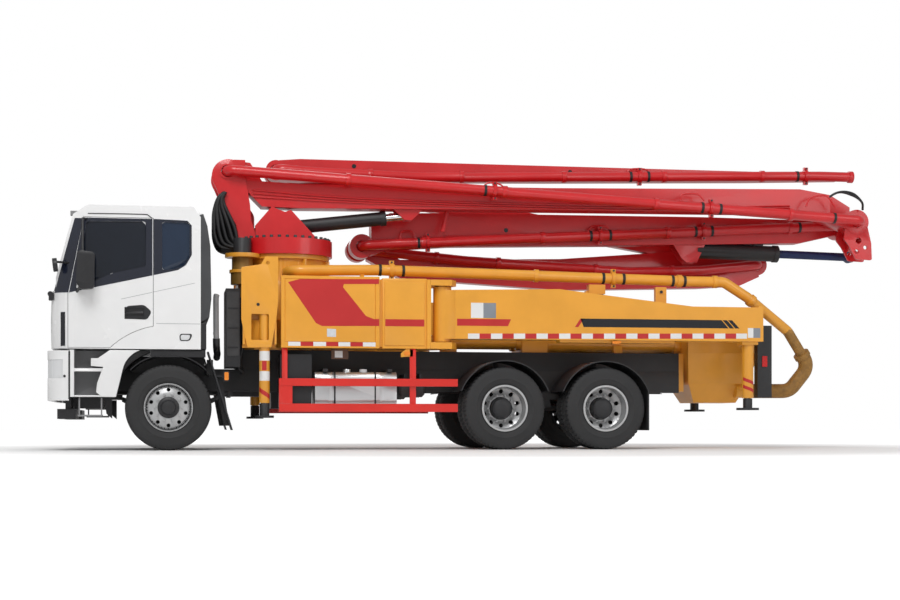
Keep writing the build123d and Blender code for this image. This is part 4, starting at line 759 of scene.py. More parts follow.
def patch_on_tube(
    station: float, y: float, radius: float, turn: Sequence[float], z_start: float, z_end: float,
    height: float,
) -> Part:
    """Foil on an upright tube.

    A grid of angle and height bent round the tube: the foil's foot climbs evenly from z_start at
    the first angle to z_end at the last one, and its top lies one height above.

    Args:
        station: of the tube's axis.
        y: of the tube's axis.
        radius: of the tube.
        turn: first and last angle in degrees, 90 facing left and 0 facing forward.
        z_start: foot at the first angle.
        z_end: foot at the last angle.
        height: of the foil.

    Returns:
        Points and faces.
    """
    steps = 13
    angles = np.radians(np.linspace(turn[0], turn[1], steps))[:, None]
    climb = np.linspace(z_start, z_end, steps)[:, None] + np.array([0.0, height])[None, :]
    grids = []
    for r in (radius + FOIL_THICK, radius - FOIL_ROOT):
        x_row = at(station) + r * np.cos(angles) + 0 * climb
        y_row = y + r * np.sin(angles) + 0 * climb
        grids.append(np.stack([x_row, y_row, climb], axis=-1))
    return sheet_part(grids[0], grids[1])


def hex_bolt(radius: float, height: float, axis: str) -> Part:
    """Six-sided bolt head with a chamfer: the last fifth of its height narrows to 85 percent.

    Args:
        radius: across its corners, halved.
        height: of the head.
        axis: "X", "Y" or "Z", along which it stands up from the origin.

    Returns:
        Points and faces.
    """
    profile = [
        (AXIS_GAP, 0.0), (radius, 0.0), (radius, height * 0.8), (radius * 0.85, height),
        (AXIS_GAP, height),
    ]
    return ring_part(profile, (0.0, 0.0, 0.0), 6, axis)


# ---------------------------------------------------------------- wheels


@dataclass
class Tyre:
    """Road tyre with a block tread; replaces the plain CAD tyres of one node."""

    radius: float = 0.538
    half_width: float = 0.150
    seat: float = 0.2903
    lugs: int = 58
    steps_per_lug: int = 4
    # Section: half the tread's width, its fall at the shoulder, the grooves and their lips.
    tread_half: float = 0.121
    crown: float = 0.012
    grooves: tuple[float, ...] = (-0.085, -0.03, 0.03, 0.085)
    groove_lips: tuple[float, ...] = (-0.0075, -0.006, 0.006, 0.0075)
    groove_depth: float = 0.013
    notch_depth: float = 0.006
    shoulder_share: float = 0.6
    smooth_middle: float = 0.07
    lug_skew: float = 0.022
    # (radius, y) from the shoulder down to the bead.
    flank: Points = (
        (0.517, 0.1285), (0.500, 0.1360), (0.483, 0.1420), (0.470, 0.1438), (0.425, 0.1475),
        (0.385, 0.1482), (0.383, 0.1490), (0.375, 0.1462), (0.373, 0.1450), (0.345, 0.1412),
        (0.322, 0.131), (0.3065, 0.1172),
    )
    flank_end: float = 0.1168
    # A node wider than this is a pair of tyres.
    pair_width: float = 0.5
    smooth: float = 25.0

    def part(self, station: float, y: float) -> Part:
        """Carcass with tread.

        The section is a closed outline of (radius, y). Its tread rows drop by the groove depth
        where y lies in one of the four grooves, and, outside the smooth middle, at every angle
        between two lugs. The crown falls off with the fourth power of y.

        Args:
            station: of the axle.
            y: middle of the tyre.

        Returns:
            Points and faces.
        """
        tread_y = [middle + lip for middle in self.grooves for lip in self.groove_lips]
        tread_y = np.array([-self.tread_half, *tread_y, self.tread_half])
        tread_radius = self.radius - self.crown * (np.abs(tread_y) / self.tread_half) ** 4
        tread = np.column_stack([tread_radius, tread_y])
        side = np.array([*self.flank, (self.seat, self.flank_end)])
        mirrored = side[::-1] * np.array([1.0, -1.0])
        section = np.vstack([mirrored, tread, side])
        first, last = len(side), len(side) + len(tread)
        is_tread, groove, is_shoulder = np.zeros((3, len(section)))
        is_tread[first:last] = 1.0
        for lip in (2, 3):
            groove[first + lip:last - 1:4] = 1.0
        is_shoulder[[first - 1, first - 2, last, last + 1]] = self.shoulder_share
        steps = self.lugs * self.steps_per_lug
        turn = np.arange(steps) * (2 * pi / steps)
        gap = (np.arange(steps) % self.steps_per_lug == 0).astype(float)
        outer_rows = (np.abs(section[:, 1]) > self.smooth_middle).astype(float)
        cut = gap[:, None] * is_tread[None, :] * outer_rows[None, :]
        drop = self.groove_depth * np.maximum(groove[None, :], cut)
        drop = drop + self.notch_depth * gap[:, None] * is_shoulder[None, :]
        radii = section[:, 0][None, :] - drop
        slant = np.sin(section[:, 1] / self.half_width * pi)[None, :] * is_tread[None, :]
        angle = turn[:, None] + self.lug_skew * slant
        y_rows = y + np.broadcast_to(section[:, 1], radii.shape)
        rows = (at(station) + radii * np.sin(angle), y_rows, WHEEL_Z + radii * np.cos(angle))
        points = np.stack(rows, axis=-1).reshape(-1, 3)
        n, m = steps, len(section)
        i, j = np.meshgrid(np.arange(n), np.arange(m), indexing="ij")
        here, onward = i * m, ((i + 1) % n) * m
        beside = (j + 1) % m
        quads = np.stack([here + j, here + beside, onward + beside, onward + j], axis=-1)
        return points, quads.reshape(-1, 4)[:, ::-1].tolist()

    def build(self, node: str, station: float) -> None:
        """Makes the tyres of one CAD node.

        Args:
            node: CAD node with one tyre or a pair.
            station: of the axle.
        """
        low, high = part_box(node)
        side = 1.0 if (low.y + high.y) > 0 else -1.0
        outer = max(abs(low.y), abs(high.y)) - self.half_width
        places = [outer]
        if high.y - low.y > self.pair_width:
            places.append(min(abs(low.y), abs(high.y)) + self.half_width)
        surface = Surface()
        for y in places:
            surface.add(*self.part(station, side * y))
        surface.piece(
            f"{node}_tread", BODY_OF_NODE[node], [TYRE_BLACK], smooth=self.smooth,
            stands_for=[node],
        )


@dataclass
class Wheels:
    """All tyres, rims and their nuts."""

    front_y: float = 1.095
    axles: tuple[tuple[str, float], ...] = (("second", 4.3), ("third", 5.65))
    nut_circle: float = 0.1675
    rear_nut_circle: float = 0.172
    nut_count: int = 10
    nut_radius: float = 0.018
    nut_height: float = 0.028
    stud_radius: float = 0.009
    stud_length: float = 0.045
    front_nut_out: float = 0.113
    rear_nut_y: float = 0.939
    front_disc_y: float = 0.985
    # What is black on a rim: rings by their distance from the axle, and faces near the middle. On
    # the front rims the inner ring is the hub, and the outer ring is painted shade in the rim's
    # recess.
    front_hub_and_shade_bands: Points = ((-1.0, 0.142), (0.262, 0.288))
    front_inner_y: float = 1.14
    front_reach: float = 0.24
    rear_bands: Points = ((-1.0, 0.151),)
    rear_inner_y: float = 0.90
    rear_reach: float = 10.0
    # (radius, distance along the axle) of the drum face behind the holes.
    disc: Points = (
        (0.060, -0.006), (0.235, -0.006), (0.262, 0.0), (0.262, 0.004), (0.235, 0.006),
        (0.060, 0.006),
    )

    def nuts(
        self, name: str, body: str, station: float, y: float, side: float, radius: float
    ) -> None:
        """Ten wheel nuts and studs on a circle.

        Args:
            name: the piece's name.
            body: wheel body.
            station: of the axle.
            y: where the nuts stand, as a distance from the middle.
            side: 1 left, -1 right.
            radius: of the circle.
        """
        surface = Surface()
        nut = hex_bolt(self.nut_radius, self.nut_height, "Y")
        stud = ring_part(disc_profile(self.stud_radius, 0.0, self.stud_length), (0, 0, 0), 10, "Y")
        turn = np.arange(self.nut_count) * (2 * pi / self.nut_count)
        spots = np.column_stack([
            at(station) + radius * np.cos(turn), np.full(self.nut_count, y),
            WHEEL_Z + radius * np.sin(turn),
        ])
        for points, faces in (nut, stud):
            for spot in spots:
                surface.on_side((points + spot, faces), side)
        surface.piece(name, body, [RIM_SILVER])

    def back_disc(self, name: str, body: str, station: float, y: float, side: float) -> None:
        """Dark drum face behind the rim's holes.

        Args:
            name: the piece's name.
            body: wheel body.
            station: of the axle.
            y: its middle, as a distance from the middle of the truck.
            side: 1 left, -1 right.
        """
        surface = Surface()
        surface.on_side(ring_part(self.disc, (at(station), y, WHEEL_Z), 40, "Y"), side)
        surface.piece(name, body, [FRAME_BLACK])

    def rim_choice(
        self, station: float, bands: Sequence[Sequence[float]], inner_y: float, inner_reach: float
    ) -> Chooser:
        """Chooser that paints a rim's hub, a ring outside its holes and its inside black; on the
        front rims that ring is painted shade in the rim's recess.

        Args:
            station: of the axle.
            bands: least and greatest distance from the axle of each black ring.
            inner_y: faces nearer to the truck's middle than this are black too.
            inner_reach: up to this distance from the axle.

        Returns:
            The chooser.
        """
        def choice(centres: np.ndarray) -> np.ndarray:
            """1 where a face is black.

            Args:
                centres: N by 3 array of face centres.

            Returns:
                Finish numbers.
            """
            distance = np.hypot(centres[:, 0] - at(station), centres[:, 2] - WHEEL_Z)
            dark = (np.abs(centres[:, 1]) < inner_y) & (distance < inner_reach)
            for least, most in bands:
                dark |= (distance > least) & (distance < most)
            return dark

        return choice

    def build(self) -> None:
        """Makes tyres, rims and nuts of every wheel."""
        tyre = Tyre()
        # The front rims' outer black ring is painted shade in the rim's recess.
        front_choice = self.rim_choice(0.0, self.front_hub_and_shade_bands, self.front_inner_y, self.front_reach)
        for name, side in SIDES:
            tyre.build(f"front_tyre_{name}", 0.0)
            body = f"front_wheel_{name}"
            dressed(f"front_rim_{name}", [RIM_SILVER, FRAME_BLACK], front_choice, bevel=SMALL_EDGE)
            self.back_disc(f"front_disc_{name}", body, 0.0, self.front_disc_y, side)
            self.nuts(
                f"front_nuts_{name}", body, 0.0, self.front_y + self.front_nut_out, side,
                self.nut_circle,
            )
            for axle, station in self.axles:
                tyre.build(f"{axle}_tyres_{name}", station)
                rear_choice = self.rim_choice(
                    station, self.rear_bands, self.rear_inner_y, self.rear_reach
                )
                rims = f"{axle}_rims_{name}"
                dressed(rims, [RIM_SILVER, FRAME_BLACK], rear_choice, bevel=SMALL_EDGE)
                self.nuts(
                    f"{axle}_nuts_{name}", f"{axle}_wheels_{name}", station, self.rear_nut_y, side,
                    self.rear_nut_circle,
                )


# ---------------------------------------------------------------- cab


@dataclass
class Cab:
    """Cab skin, doors, glass, lamps and trim."""

    # Dark bands round the side windows, as (station, height) outlines, and their inner and
    # outer face in y.
    door_band: Points = (
        (-1.213, 1.962), (-0.716, 2.072), (-0.197, 2.188), (-0.197, 2.893), (-1.036, 2.893),
    )
    door_opening: Points = (
        (-1.130, 1.998), (-1.000, 2.850), (-0.276, 2.862), (-0.276, 2.300), (-0.700, 2.205),
    )
    quarter_band: Points = (
        (-0.183, 2.191), (0.118, 2.26), (0.217, 2.324), (0.288, 2.45), (0.288, 2.82),
        (0.235, 2.880), (-0.183, 2.893),
    )
    quarter_opening: Points = (
        (-0.079, 2.257), (-0.079, 2.857), (0.262, 2.852), (0.258, 2.420), (0.180, 2.300),
        (0.060, 2.266),
    )
    door_corner: float = 0.045
    quarter_corner: float = 0.035
    band_faces: tuple[float, float] = (1.226, 1.2375)
    # Door handle: its rim, its pocket, and the part of the door that is black there.
    handle_rim: Points = (
        (-0.545, 1.645), (-0.52, 1.80), (-0.30, 1.82), (-0.205, 1.735), (-0.262, 1.633),
    )
    handle_pocket: Points = ((-0.532, 1.648), (-0.528, 1.783), (-0.298, 1.783), (-0.298, 1.648))
    handle_corners: tuple[float, float] = (0.04, 0.02)
    handle_faces: tuple[float, float] = (1.232, 1.2385)
    handle_middle: tuple[float, float] = (-0.415, 1.715)
    handle_reach: tuple[float, float] = (0.125, 0.078)
    # Pressed lines, grey as painted shade of their creases, and side lamp.
    door_line: Points = ((-0.582, 1.884), (-0.582, 1.890), (-0.197, 1.980), (-0.197, 1.974))
    side_lines: tuple[Points, ...] = (
        ((-0.183, 1.978), (-0.183, 1.984), (0.328, 2.103), (0.328, 2.097)),
        ((-0.15, 1.584), (-0.15, 1.590), (0.39, 1.590), (0.39, 1.584)),
    )
    line_faces: tuple[float, float] = (1.233, 1.2358)
    lamp_rim: Points = ((0.138, 1.372), (0.138, 1.462), (0.300, 1.462), (0.262, 1.372))
    lamp_glass: Points = ((0.150, 1.384), (0.150, 1.450), (0.275, 1.450), (0.252, 1.384))
    lamp_corners: tuple[float, float] = (0.035, 0.028)
    lamp_rim_faces: tuple[float, float] = (1.232, 1.2395)
    lamp_glass_faces: tuple[float, float] = (1.232, 1.2375)
    rail_radius: float = 0.006
    drip_rail: tuple[tuple[float, float, float], ...] = (
        (-0.985, 1.238, 2.945), (-0.60, 1.238, 2.949), (-0.26, 1.238, 2.947), (-0.20, 1.238, 2.90),
    )
    # Rounded front corner: middle and radius of its bend, seen from above.
    corner_station: float = -1.152
    corner_y: float = 0.935
    corner_radius: float = 0.3
    # Where the finishes of the CAD pieces change.
    inside_y: float = 1.185
    inside_stations: tuple[float, float] = (-1.375, 0.35)
    inside_levels: tuple[float, float] = (1.30, 3.01)
    bend_radius: float = 0.285
    rear_face: float = 0.402
    rear_face_y: float = 1.23
    quarter_start: float = -0.19
    bumper_back: float = -1.33
    bumper_inner: float = 1.20
    door_inner: float = 1.184
    door_outer: float = 1.2365
    handle_inner: float = 1.10
    fender_inner: float = 1.2
    step_well_rear: float = -0.78
    arch_front: float = -0.24
    arch_inner_front: float = -0.70
    pane_depth: tuple[float, float] = (1.2105, 1.2195)
    pane_levels: tuple[float, float] = (2.01, 2.84)
    # Pillar sheet and slot lamp: how far they stand out, and the lines that bound them.
    sheet_out: float = 0.0025
    slot_out: float = 0.003
    sheet_in: float = -0.001
    screen_foot: tuple[float, float] = (-1.449, 1.945)
    screen_lean: float = 0.2727
    pillar_foot: float = -1.435
    pillar_behind: float = 0.034
    pillar_levels: tuple[float, float] = (1.962, 2.885)
    slot_levels: tuple[float, float] = (1.30, 1.72)
    slot_stations: tuple[float, float] = (-1.318, -1.262)
    door_edge: tuple[float, float] = (-1.2235, 1.955)
    door_lean: float = 0.1942
    # Wipers: y of each foot, radius of arm and blade, and (height, drop in y) along them.
    wiper_places: tuple[float, ...] = (-0.75, 0.0, 0.72)
    wiper_radii: tuple[float, float] = (0.006, 0.007)
    wiper_arm: Points = ((1.95, 0.0), (2.02, 0.04), (2.35, 0.22), (2.52, 0.28))
    wiper_blade: Points = ((2.05, 0.10), (2.32, 0.24), (2.63, 0.36))
    # Boxes: front and rear station, y range, levels.
    scuttle: tuple[float, ...] = (-1.452, -1.425, -1.0, 1.0, 1.915, 1.962)
    roof_lamp: tuple[float, ...] = (-1.205, -1.11, 1.02, 1.10, 2.935, 2.992)
    mirror_foot: tuple[float, ...] = (-1.468, -1.405, 1.00, 1.12, 1.872, 1.965)
    knob_place: tuple[float, float, float] = (-1.452, 1.06, 1.955)
    knob: Points = (
        (AXIS_GAP, -0.03), (0.028, -0.03), (0.034, 0.0), (0.028, 0.03), (AXIS_GAP, 0.03),
    )
    # Tow-eye plug, the bumper's black edge and the skirt behind the cab.
    plug_radius: float = 0.016
    plug_height: float = 0.006
    plug_place: tuple[float, float, float] = (-1.268, 1.233, 0.925)
    bumper_lip: Points = ((-1.222, 0.640), (-1.222, 1.235), (-1.200, 1.235), (-1.200, 0.640))
    bumper_lip_faces: tuple[float, float] = (1.222, 1.237)
    skirt: tuple[float, ...] = (0.385, 0.47, 0.55, 1.215, 1.27, 1.60)
    seat_edge: float = 0.02
    lens_edge: float = 0.002
    skirt_edge: float = 0.008

    def build(self) -> None:
        """Makes the cab's pieces."""
        dressed("cab_shell", [CAB_WHITE, SEAT_GREY, REAR_GREY], self.shell_choice, bevel=PANEL_EDGE)
        dressed("cab_glass", [PANE, QUARTER_PANE], self.glass_choice, bevel=0.0)
        dressed("cab_interior", [SEAT_GREY], bevel=self.seat_edge)
        dressed("kerb_mirrors", [TRIM_BLACK])
        dressed("bumper", [CAB_WHITE, TRIM_BLACK], self.bumper_choice, bevel=PANEL_EDGE)
        dressed("headlights", [LENS], bevel=self.lens_edge)
        fender = [CAB_WHITE, FENDER_GREY, TRIM_BLACK]
        dressed("front_fenders", fender, self.fender_choice, bevel=PANEL_EDGE)
        for name, side in SIDES:
            door = [CAB_WHITE, SEAT_GREY, PANE, TRIM_BLACK]
            dressed(f"door_{name}", door, self.door_choice)
            self.door_trim(name, side)
        self.side_trim()
        self.pillars()
        self.front_trim()
        self.bumper_trim()
        self.rear_trim()

    def shell_choice(self, centres: np.ndarray) -> np.ndarray:
        """Inside faces are grey trim, the bulging back is dark, the rest paint.

        Args:
            centres: N by 3 array of face centres.

        Returns:
            Finish numbers.
        """
        x, y, z = centres[:, 0], np.abs(centres[:, 1]), centres[:, 2]
        front, rear = self.inside_stations
        low, high = self.inside_levels
        inside = (y < self.inside_y) & (x < at(front)) & (x > at(rear)) & (z > low) & (z < high)
        corner = np.hypot(FRONT_AXLE_X - x - self.corner_station, y - self.corner_y)
        ahead = (x > at(self.corner_station)) & (y > self.corner_y)
        bend = ahead & (corner > self.bend_radius)
        back = (x < at(self.rear_face)) & (y < self.rear_face_y)
        return np.where(back, 2, (inside & ~bend).astype(int))

    def glass_choice(self, centres: np.ndarray) -> np.ndarray:
        """The quarter windows behind the doors have their own pane.

        Args:
            centres: N by 3 array of face centres.

        Returns:
            Finish numbers.
        """
        return (centres[:, 0] < at(self.quarter_start)).astype(int)

    def bumper_choice(self, centres: np.ndarray) -> np.ndarray:
        """The inside of the bumper is black.

        Args:
            centres: N by 3 array of face centres.

        Returns:
            Finish numbers.
        """
        behind = centres[:, 0] < at(self.bumper_back)
        return (behind & (np.abs(centres[:, 1]) < self.bumper_inner)).astype(int)

    def door_choice(self, centres: np.ndarray) -> np.ndarray:
        """Pane by its depth in the wall, inside faces grey, handle and mirror black.

        Args:
            centres: N by 3 array of face centres.

        Returns:
            Finish numbers.
        """
        x, y, z = centres[:, 0], np.abs(centres[:, 1]), centres[:, 2]
        chosen = np.where(y < self.door_inner, 1, 0)
        deep, shallow = self.pane_depth
        low, high = self.pane_levels
        pane = (y > deep) & (y < shallow) & (z > low) & (z < high)
        chosen = np.where(pane, 2, chosen)
        station, level = self.handle_middle
        along, up = self.handle_reach
        handle = (np.abs(x - at(station)) < along) & (np.abs(z - level) < up)
        chosen = np.where(handle & (y > self.handle_inner), 3, chosen)
        return np.where(y > self.door_outer, 3, chosen)

    def fender_choice(self, centres: np.ndarray) -> np.ndarray:
        """Step wells are grey, the wheel arch black.

        Args:
            centres: N by 3 array of face centres.

        Returns:
            Finish numbers.
        """
        x, inner = centres[:, 0], np.abs(centres[:, 1]) < self.fender_inner
        well = inner & (x > at(self.step_well_rear))
        arch = (x < at(self.arch_front)) | (inner & (x < at(self.arch_inner_front)))
        return np.where(arch, 2, well.astype(int))

    def door_trim(self, name: str, side: float) -> None:
        """Dark band round a door's window, handle rim and the pressed line, grey as painted crease
        shade, on the door.

        Args:
            name: left or right.
            side: 1 left, -1 right.
        """
        surface = Surface()
        opening = rounded(self.door_opening, self.door_corner)
        surface.on_side(ring_plate(self.door_band, opening, *self.band_faces), side)
        rim = rounded(self.handle_rim, self.handle_corners[0])
        pocket = rounded(self.handle_pocket, self.handle_corners[1])
        surface.on_side(ring_plate(rim, pocket, *self.handle_faces), side, 1)
        surface.on_side(side_plate(self.door_line, *self.line_faces), side, 2)
        finishes = [BAND_NAVY, TRIM_BLACK, CREASE_SHADE_GREY]
        surface.piece(f"door_trim_{name}", f"door_{name}", finishes)

    def side_trim(self) -> None:
        """Quarter window's band, drip rail, pressed lines grey as painted crease shade, and side
        lamp on both sides.
        """
        surface = Surface()
        opening = rounded(self.quarter_opening, self.quarter_corner)
        rim = rounded(self.lamp_rim, self.lamp_corners[0])
        glass = rounded(self.lamp_glass, self.lamp_corners[1])
        rail = np.array([(at(s), y, z) for s, y, z in self.drip_rail])
        for _, side in SIDES:
            surface.on_side(ring_plate(self.quarter_band, opening, *self.band_faces), side)
            for line in self.side_lines:
                # Pressed lines in grey: painted crease shade.
                surface.on_side(side_plate(line, *self.line_faces), side, 1)
            surface.on_side(ring_plate(rim, glass, *self.lamp_rim_faces), side, 2)
            surface.on_side(side_plate(glass, *self.lamp_glass_faces), side, 3)
            surface.on_side(tube_part(rail, self.rail_radius, 8), side, 2)
        surface.piece("side_trim", "cab", [BAND_NAVY, CREASE_SHADE_GREY, TRIM_BLACK, LENS])

    def corner(self, stations: np.ndarray, levels: np.ndarray, proud: float) -> np.ndarray:
        """Points on the cab's rounded front corner: y is y_middle + sqrt(r^2 - (s - s_middle)^2).

        Args:
            stations: of the points.
            levels: their heights.
            proud: how far they stand outside the skin.

        Returns:
            Array of the same shape with x, y and z as its last axis.
        """
        r = self.corner_radius + proud
        away = np.clip(self.corner_station - stations, 0.0, r - 0.001)
        y = self.corner_y + np.sqrt(r ** 2 - away ** 2)
        return np.stack([FRONT_AXLE_X - stations, y, levels], axis=-1)

    def bent_sheet(self, stations: np.ndarray, levels: np.ndarray, proud: float) -> Part:
        """Thin sheet on the rounded corner.

        Args:
            stations: n by m grid.
            levels: n by m grid.
            proud: how far it stands outside the skin.

        Returns:
            Points and faces.
        """
        outer = self.corner(stations, levels, proud)
        return sheet_part(outer, self.corner(stations, levels, self.sheet_in))

    def pillars(self) -> None:
        """Dark sheet over each windscreen pillar, bent round the corner, and a slot lamp below."""
        surface = Surface()
        levels = np.linspace(*self.pillar_levels, 16)[:, None]
        lean = (levels - self.screen_foot[1]) * self.screen_lean
        front = self.pillar_foot + lean + self.pillar_behind
        rear = self.door_edge[0] + (levels - self.door_edge[1]) * self.door_lean
        across = np.linspace(0.0, 1.0, 12)[None, :]
        stations = front + (rear - front) * across
        spread = levels + 0 * across
        slot_levels = np.linspace(*self.slot_levels, 8)[:, None]
        slot_stations = np.linspace(*self.slot_stations, 5)[None, :] + 0 * slot_levels
        slot_spread = slot_levels + 0 * slot_stations
        for _, side in SIDES:
            surface.on_side(self.bent_sheet(stations, spread, self.sheet_out), side)
            surface.on_side(self.bent_sheet(slot_stations, slot_spread, self.slot_out), side, 1)
        surface.piece("pillar_trim", "cab", [BAND_NAVY, GLOSS_BLACK])

    def screen(self, level: float) -> float:
        """Station just in front of the windscreen: a straight line that leans back with height.

        Args:
            level: height above the ground.

        Returns:
            The station.
        """
        return self.screen_foot[0] + (level - self.screen_foot[1]) * self.screen_lean

    def front_trim(self) -> None:
        """Scuttle strip, wipers, mirror feet and the marker lamps on the roof's front."""
        surface = Surface()
        surface.add(*station_box(*self.scuttle))
        thin, thick = self.wiper_radii
        for y in self.wiper_places:
            for rows, steps, radius in ((self.wiper_arm, 14, thin), (self.wiper_blade, 12, thick)):
                line = [(self.screen(z), y - drop, z) for z, drop in rows]
                surface.add(*tube_part(smooth_path(line, steps), radius, 8))
        station, y, z = self.knob_place
        knob = ring_part(self.knob, (at(station), y, z), 16, "Y")
        for _, side in SIDES:
            surface.on_side(station_box(*self.roof_lamp), side, 1)
            surface.on_side(station_box(*self.mirror_foot), side)
            surface.on_side(knob, side)
        surface.piece("front_trim", "cab", [TRIM_BLACK, FENDER_GREY], bevel=SMALL_EDGE)

    def bumper_trim(self) -> None:
        """Tow-eye plugs and the black edge on the bumper's sides."""
        surface = Surface()
        station, y, z = self.plug_place
        profile = disc_profile(self.plug_radius, 0.0, self.plug_height)
        plug = ring_part(profile, (at(station), y, z), 16, "Y")
        for _, side in SIDES:
            surface.on_side(plug, side)
            surface.on_side(side_plate(self.bumper_lip, *self.bumper_lip_faces), side)
        surface.piece("bumper_trim", "chassis", [TRIM_BLACK])

    def rear_trim(self) -> None:
        """Black skirt behind the cab's lower rear corners."""
        surface = Surface()
        for _, side in SIDES:
            surface.on_side(station_box(*self.skirt), side)
        surface.piece("rear_skirt", "cab", [TRIM_BLACK], bevel=self.skirt_edge)


# ---------------------------------------------------------------- deck, boom


@dataclass
class Deck:
    """Everything painted yellow, with the running gear below it."""

    painted: tuple[str, ...] = (
        "lockers", "hinge_blocks", "hopper_side_plates", "hopper_end_plates",
    )
    black: tuple[str, ...] = ("chassis_frame", "mudguards")
    cast: tuple[str, ...] = (
        "front_axle", "rear_axles", "engine", "knuckle_left", "knuckle_right", "tie_rod",
    )
    # Slewing drive on the pedestal: its station and y, levels and radii.
    drive: tuple[float, float] = (0.95, 0.5)
    drive_top: float = 2.56
    drive_foot: float = 2.50
    pinion_radius: float = 0.13
    gear_radius: float = 0.16
    subframe_top: float = 1.301
    foot_top: float = 0.66
    # Hopper: lamps lie behind a station and outside a y; outlet and bend below a level.
    lamp_carrier: tuple[float, float] = (7.80, 0.86)
    outlet: tuple[float, float] = (7.97, 1.0)
    bend: tuple[float, float] = (7.9, 1.62)

    def build(self) -> None:
        """Makes the deck's pieces."""
        for node in self.painted:
            dressed(node, [DECK_YELLOW])
        for node in self.black:
            dressed(node, [FRAME_BLACK], bevel=SMALL_EDGE)
        for node in self.cast:
            dressed(node, [CAST_GREY], bevel=SMALL_EDGE)
        # The slewing drive's lower part takes the darker yellow of painted shade.
        pedestal = [DECK_YELLOW, FRAME_BLACK, DRIVE_SHADE_YELLOW]
        dressed("pedestal", pedestal, self.pedestal_choice)
        # The hopper's outlet takes the darker yellow of painted shade.
        hopper = [DECK_YELLOW, FRAME_BLACK, SHADED_YELLOW]
        dressed("hopper", hopper, self.hopper_choice)
        # The deck pipe's bend behind the hopper takes the darker yellow of painted shade.
        dressed("deck_pipe", [DECK_YELLOW, SHADED_YELLOW], self.pipe_choice, bevel=SMALL_EDGE)
        dressed("pump_unit", [DECK_YELLOW])
        dressed("hopper_grate", [FRAME_BLACK], bevel=0.0)
        dressed("fuel_tank", [TANK_ALUMINIUM], bevel=SMALL_EDGE)
        dressed("side_guards", [GUARD_RED])
        for name, _ in SIDES:
            for leg in ("front_leg", "rear_leg"):
                dressed(f"{leg}_{name}", [DECK_YELLOW])
            for jack in ("front_jack", "rear_jack"):
                finishes = [ROD_CHROME, FRAME_BLACK]
                dressed(f"{jack}_{name}", finishes, self.jack_choice, bevel=SMALL_EDGE)

    def jack_choice(self, centres: np.ndarray) -> np.ndarray:
        """The foot of a jack is black, its rod bright.

        Args:
            centres: N by 3 array of face centres.

        Returns:
            Finish numbers.
        """
        return (centres[:, 2] < self.foot_top).astype(int)

    def pedestal_choice(self, centres: np.ndarray) -> np.ndarray:
        """Slewing drive black, its lower part darker yellow as painted shade, subframe black.

        Args:
            centres: N by 3 array of face centres.

        Returns:
            Finish numbers.
        """
        x, y, z = centres.T
        near = np.hypot(x - at(self.drive[0]), y - self.drive[1])
        chosen = np.where((z > self.drive_top) & (near < self.pinion_radius), 1, 0)
        chosen = np.where((z < self.drive_foot) & (near < self.gear_radius), 2, chosen)
        return np.where(z < self.subframe_top, 1, chosen)

    def hopper_choice(self, centres: np.ndarray) -> np.ndarray:
        """Lamp carriers black, outlet darker yellow as painted shade.

        Args:
            centres: N by 3 array of face centres.

        Returns:
            Finish numbers.
        """
        x, y, z = centres.T
        lamps = (x < at(self.lamp_carrier[0])) & (np.abs(y) > self.lamp_carrier[1])
        outlet = (x < at(self.outlet[0])) & (z < self.outlet[1])
        return np.where(lamps, 1, np.where(outlet, 2, 0))

    def pipe_choice(self, centres: np.ndarray) -> np.ndarray:
        """The bend behind the hopper is darker yellow, as painted shade.

        Args:
            centres: N by 3 array of face centres.

        Returns:
            Finish numbers.
        """
        station, level = self.bend
        return ((centres[:, 2] < level) & (centres[:, 0] < at(station))).astype(int)


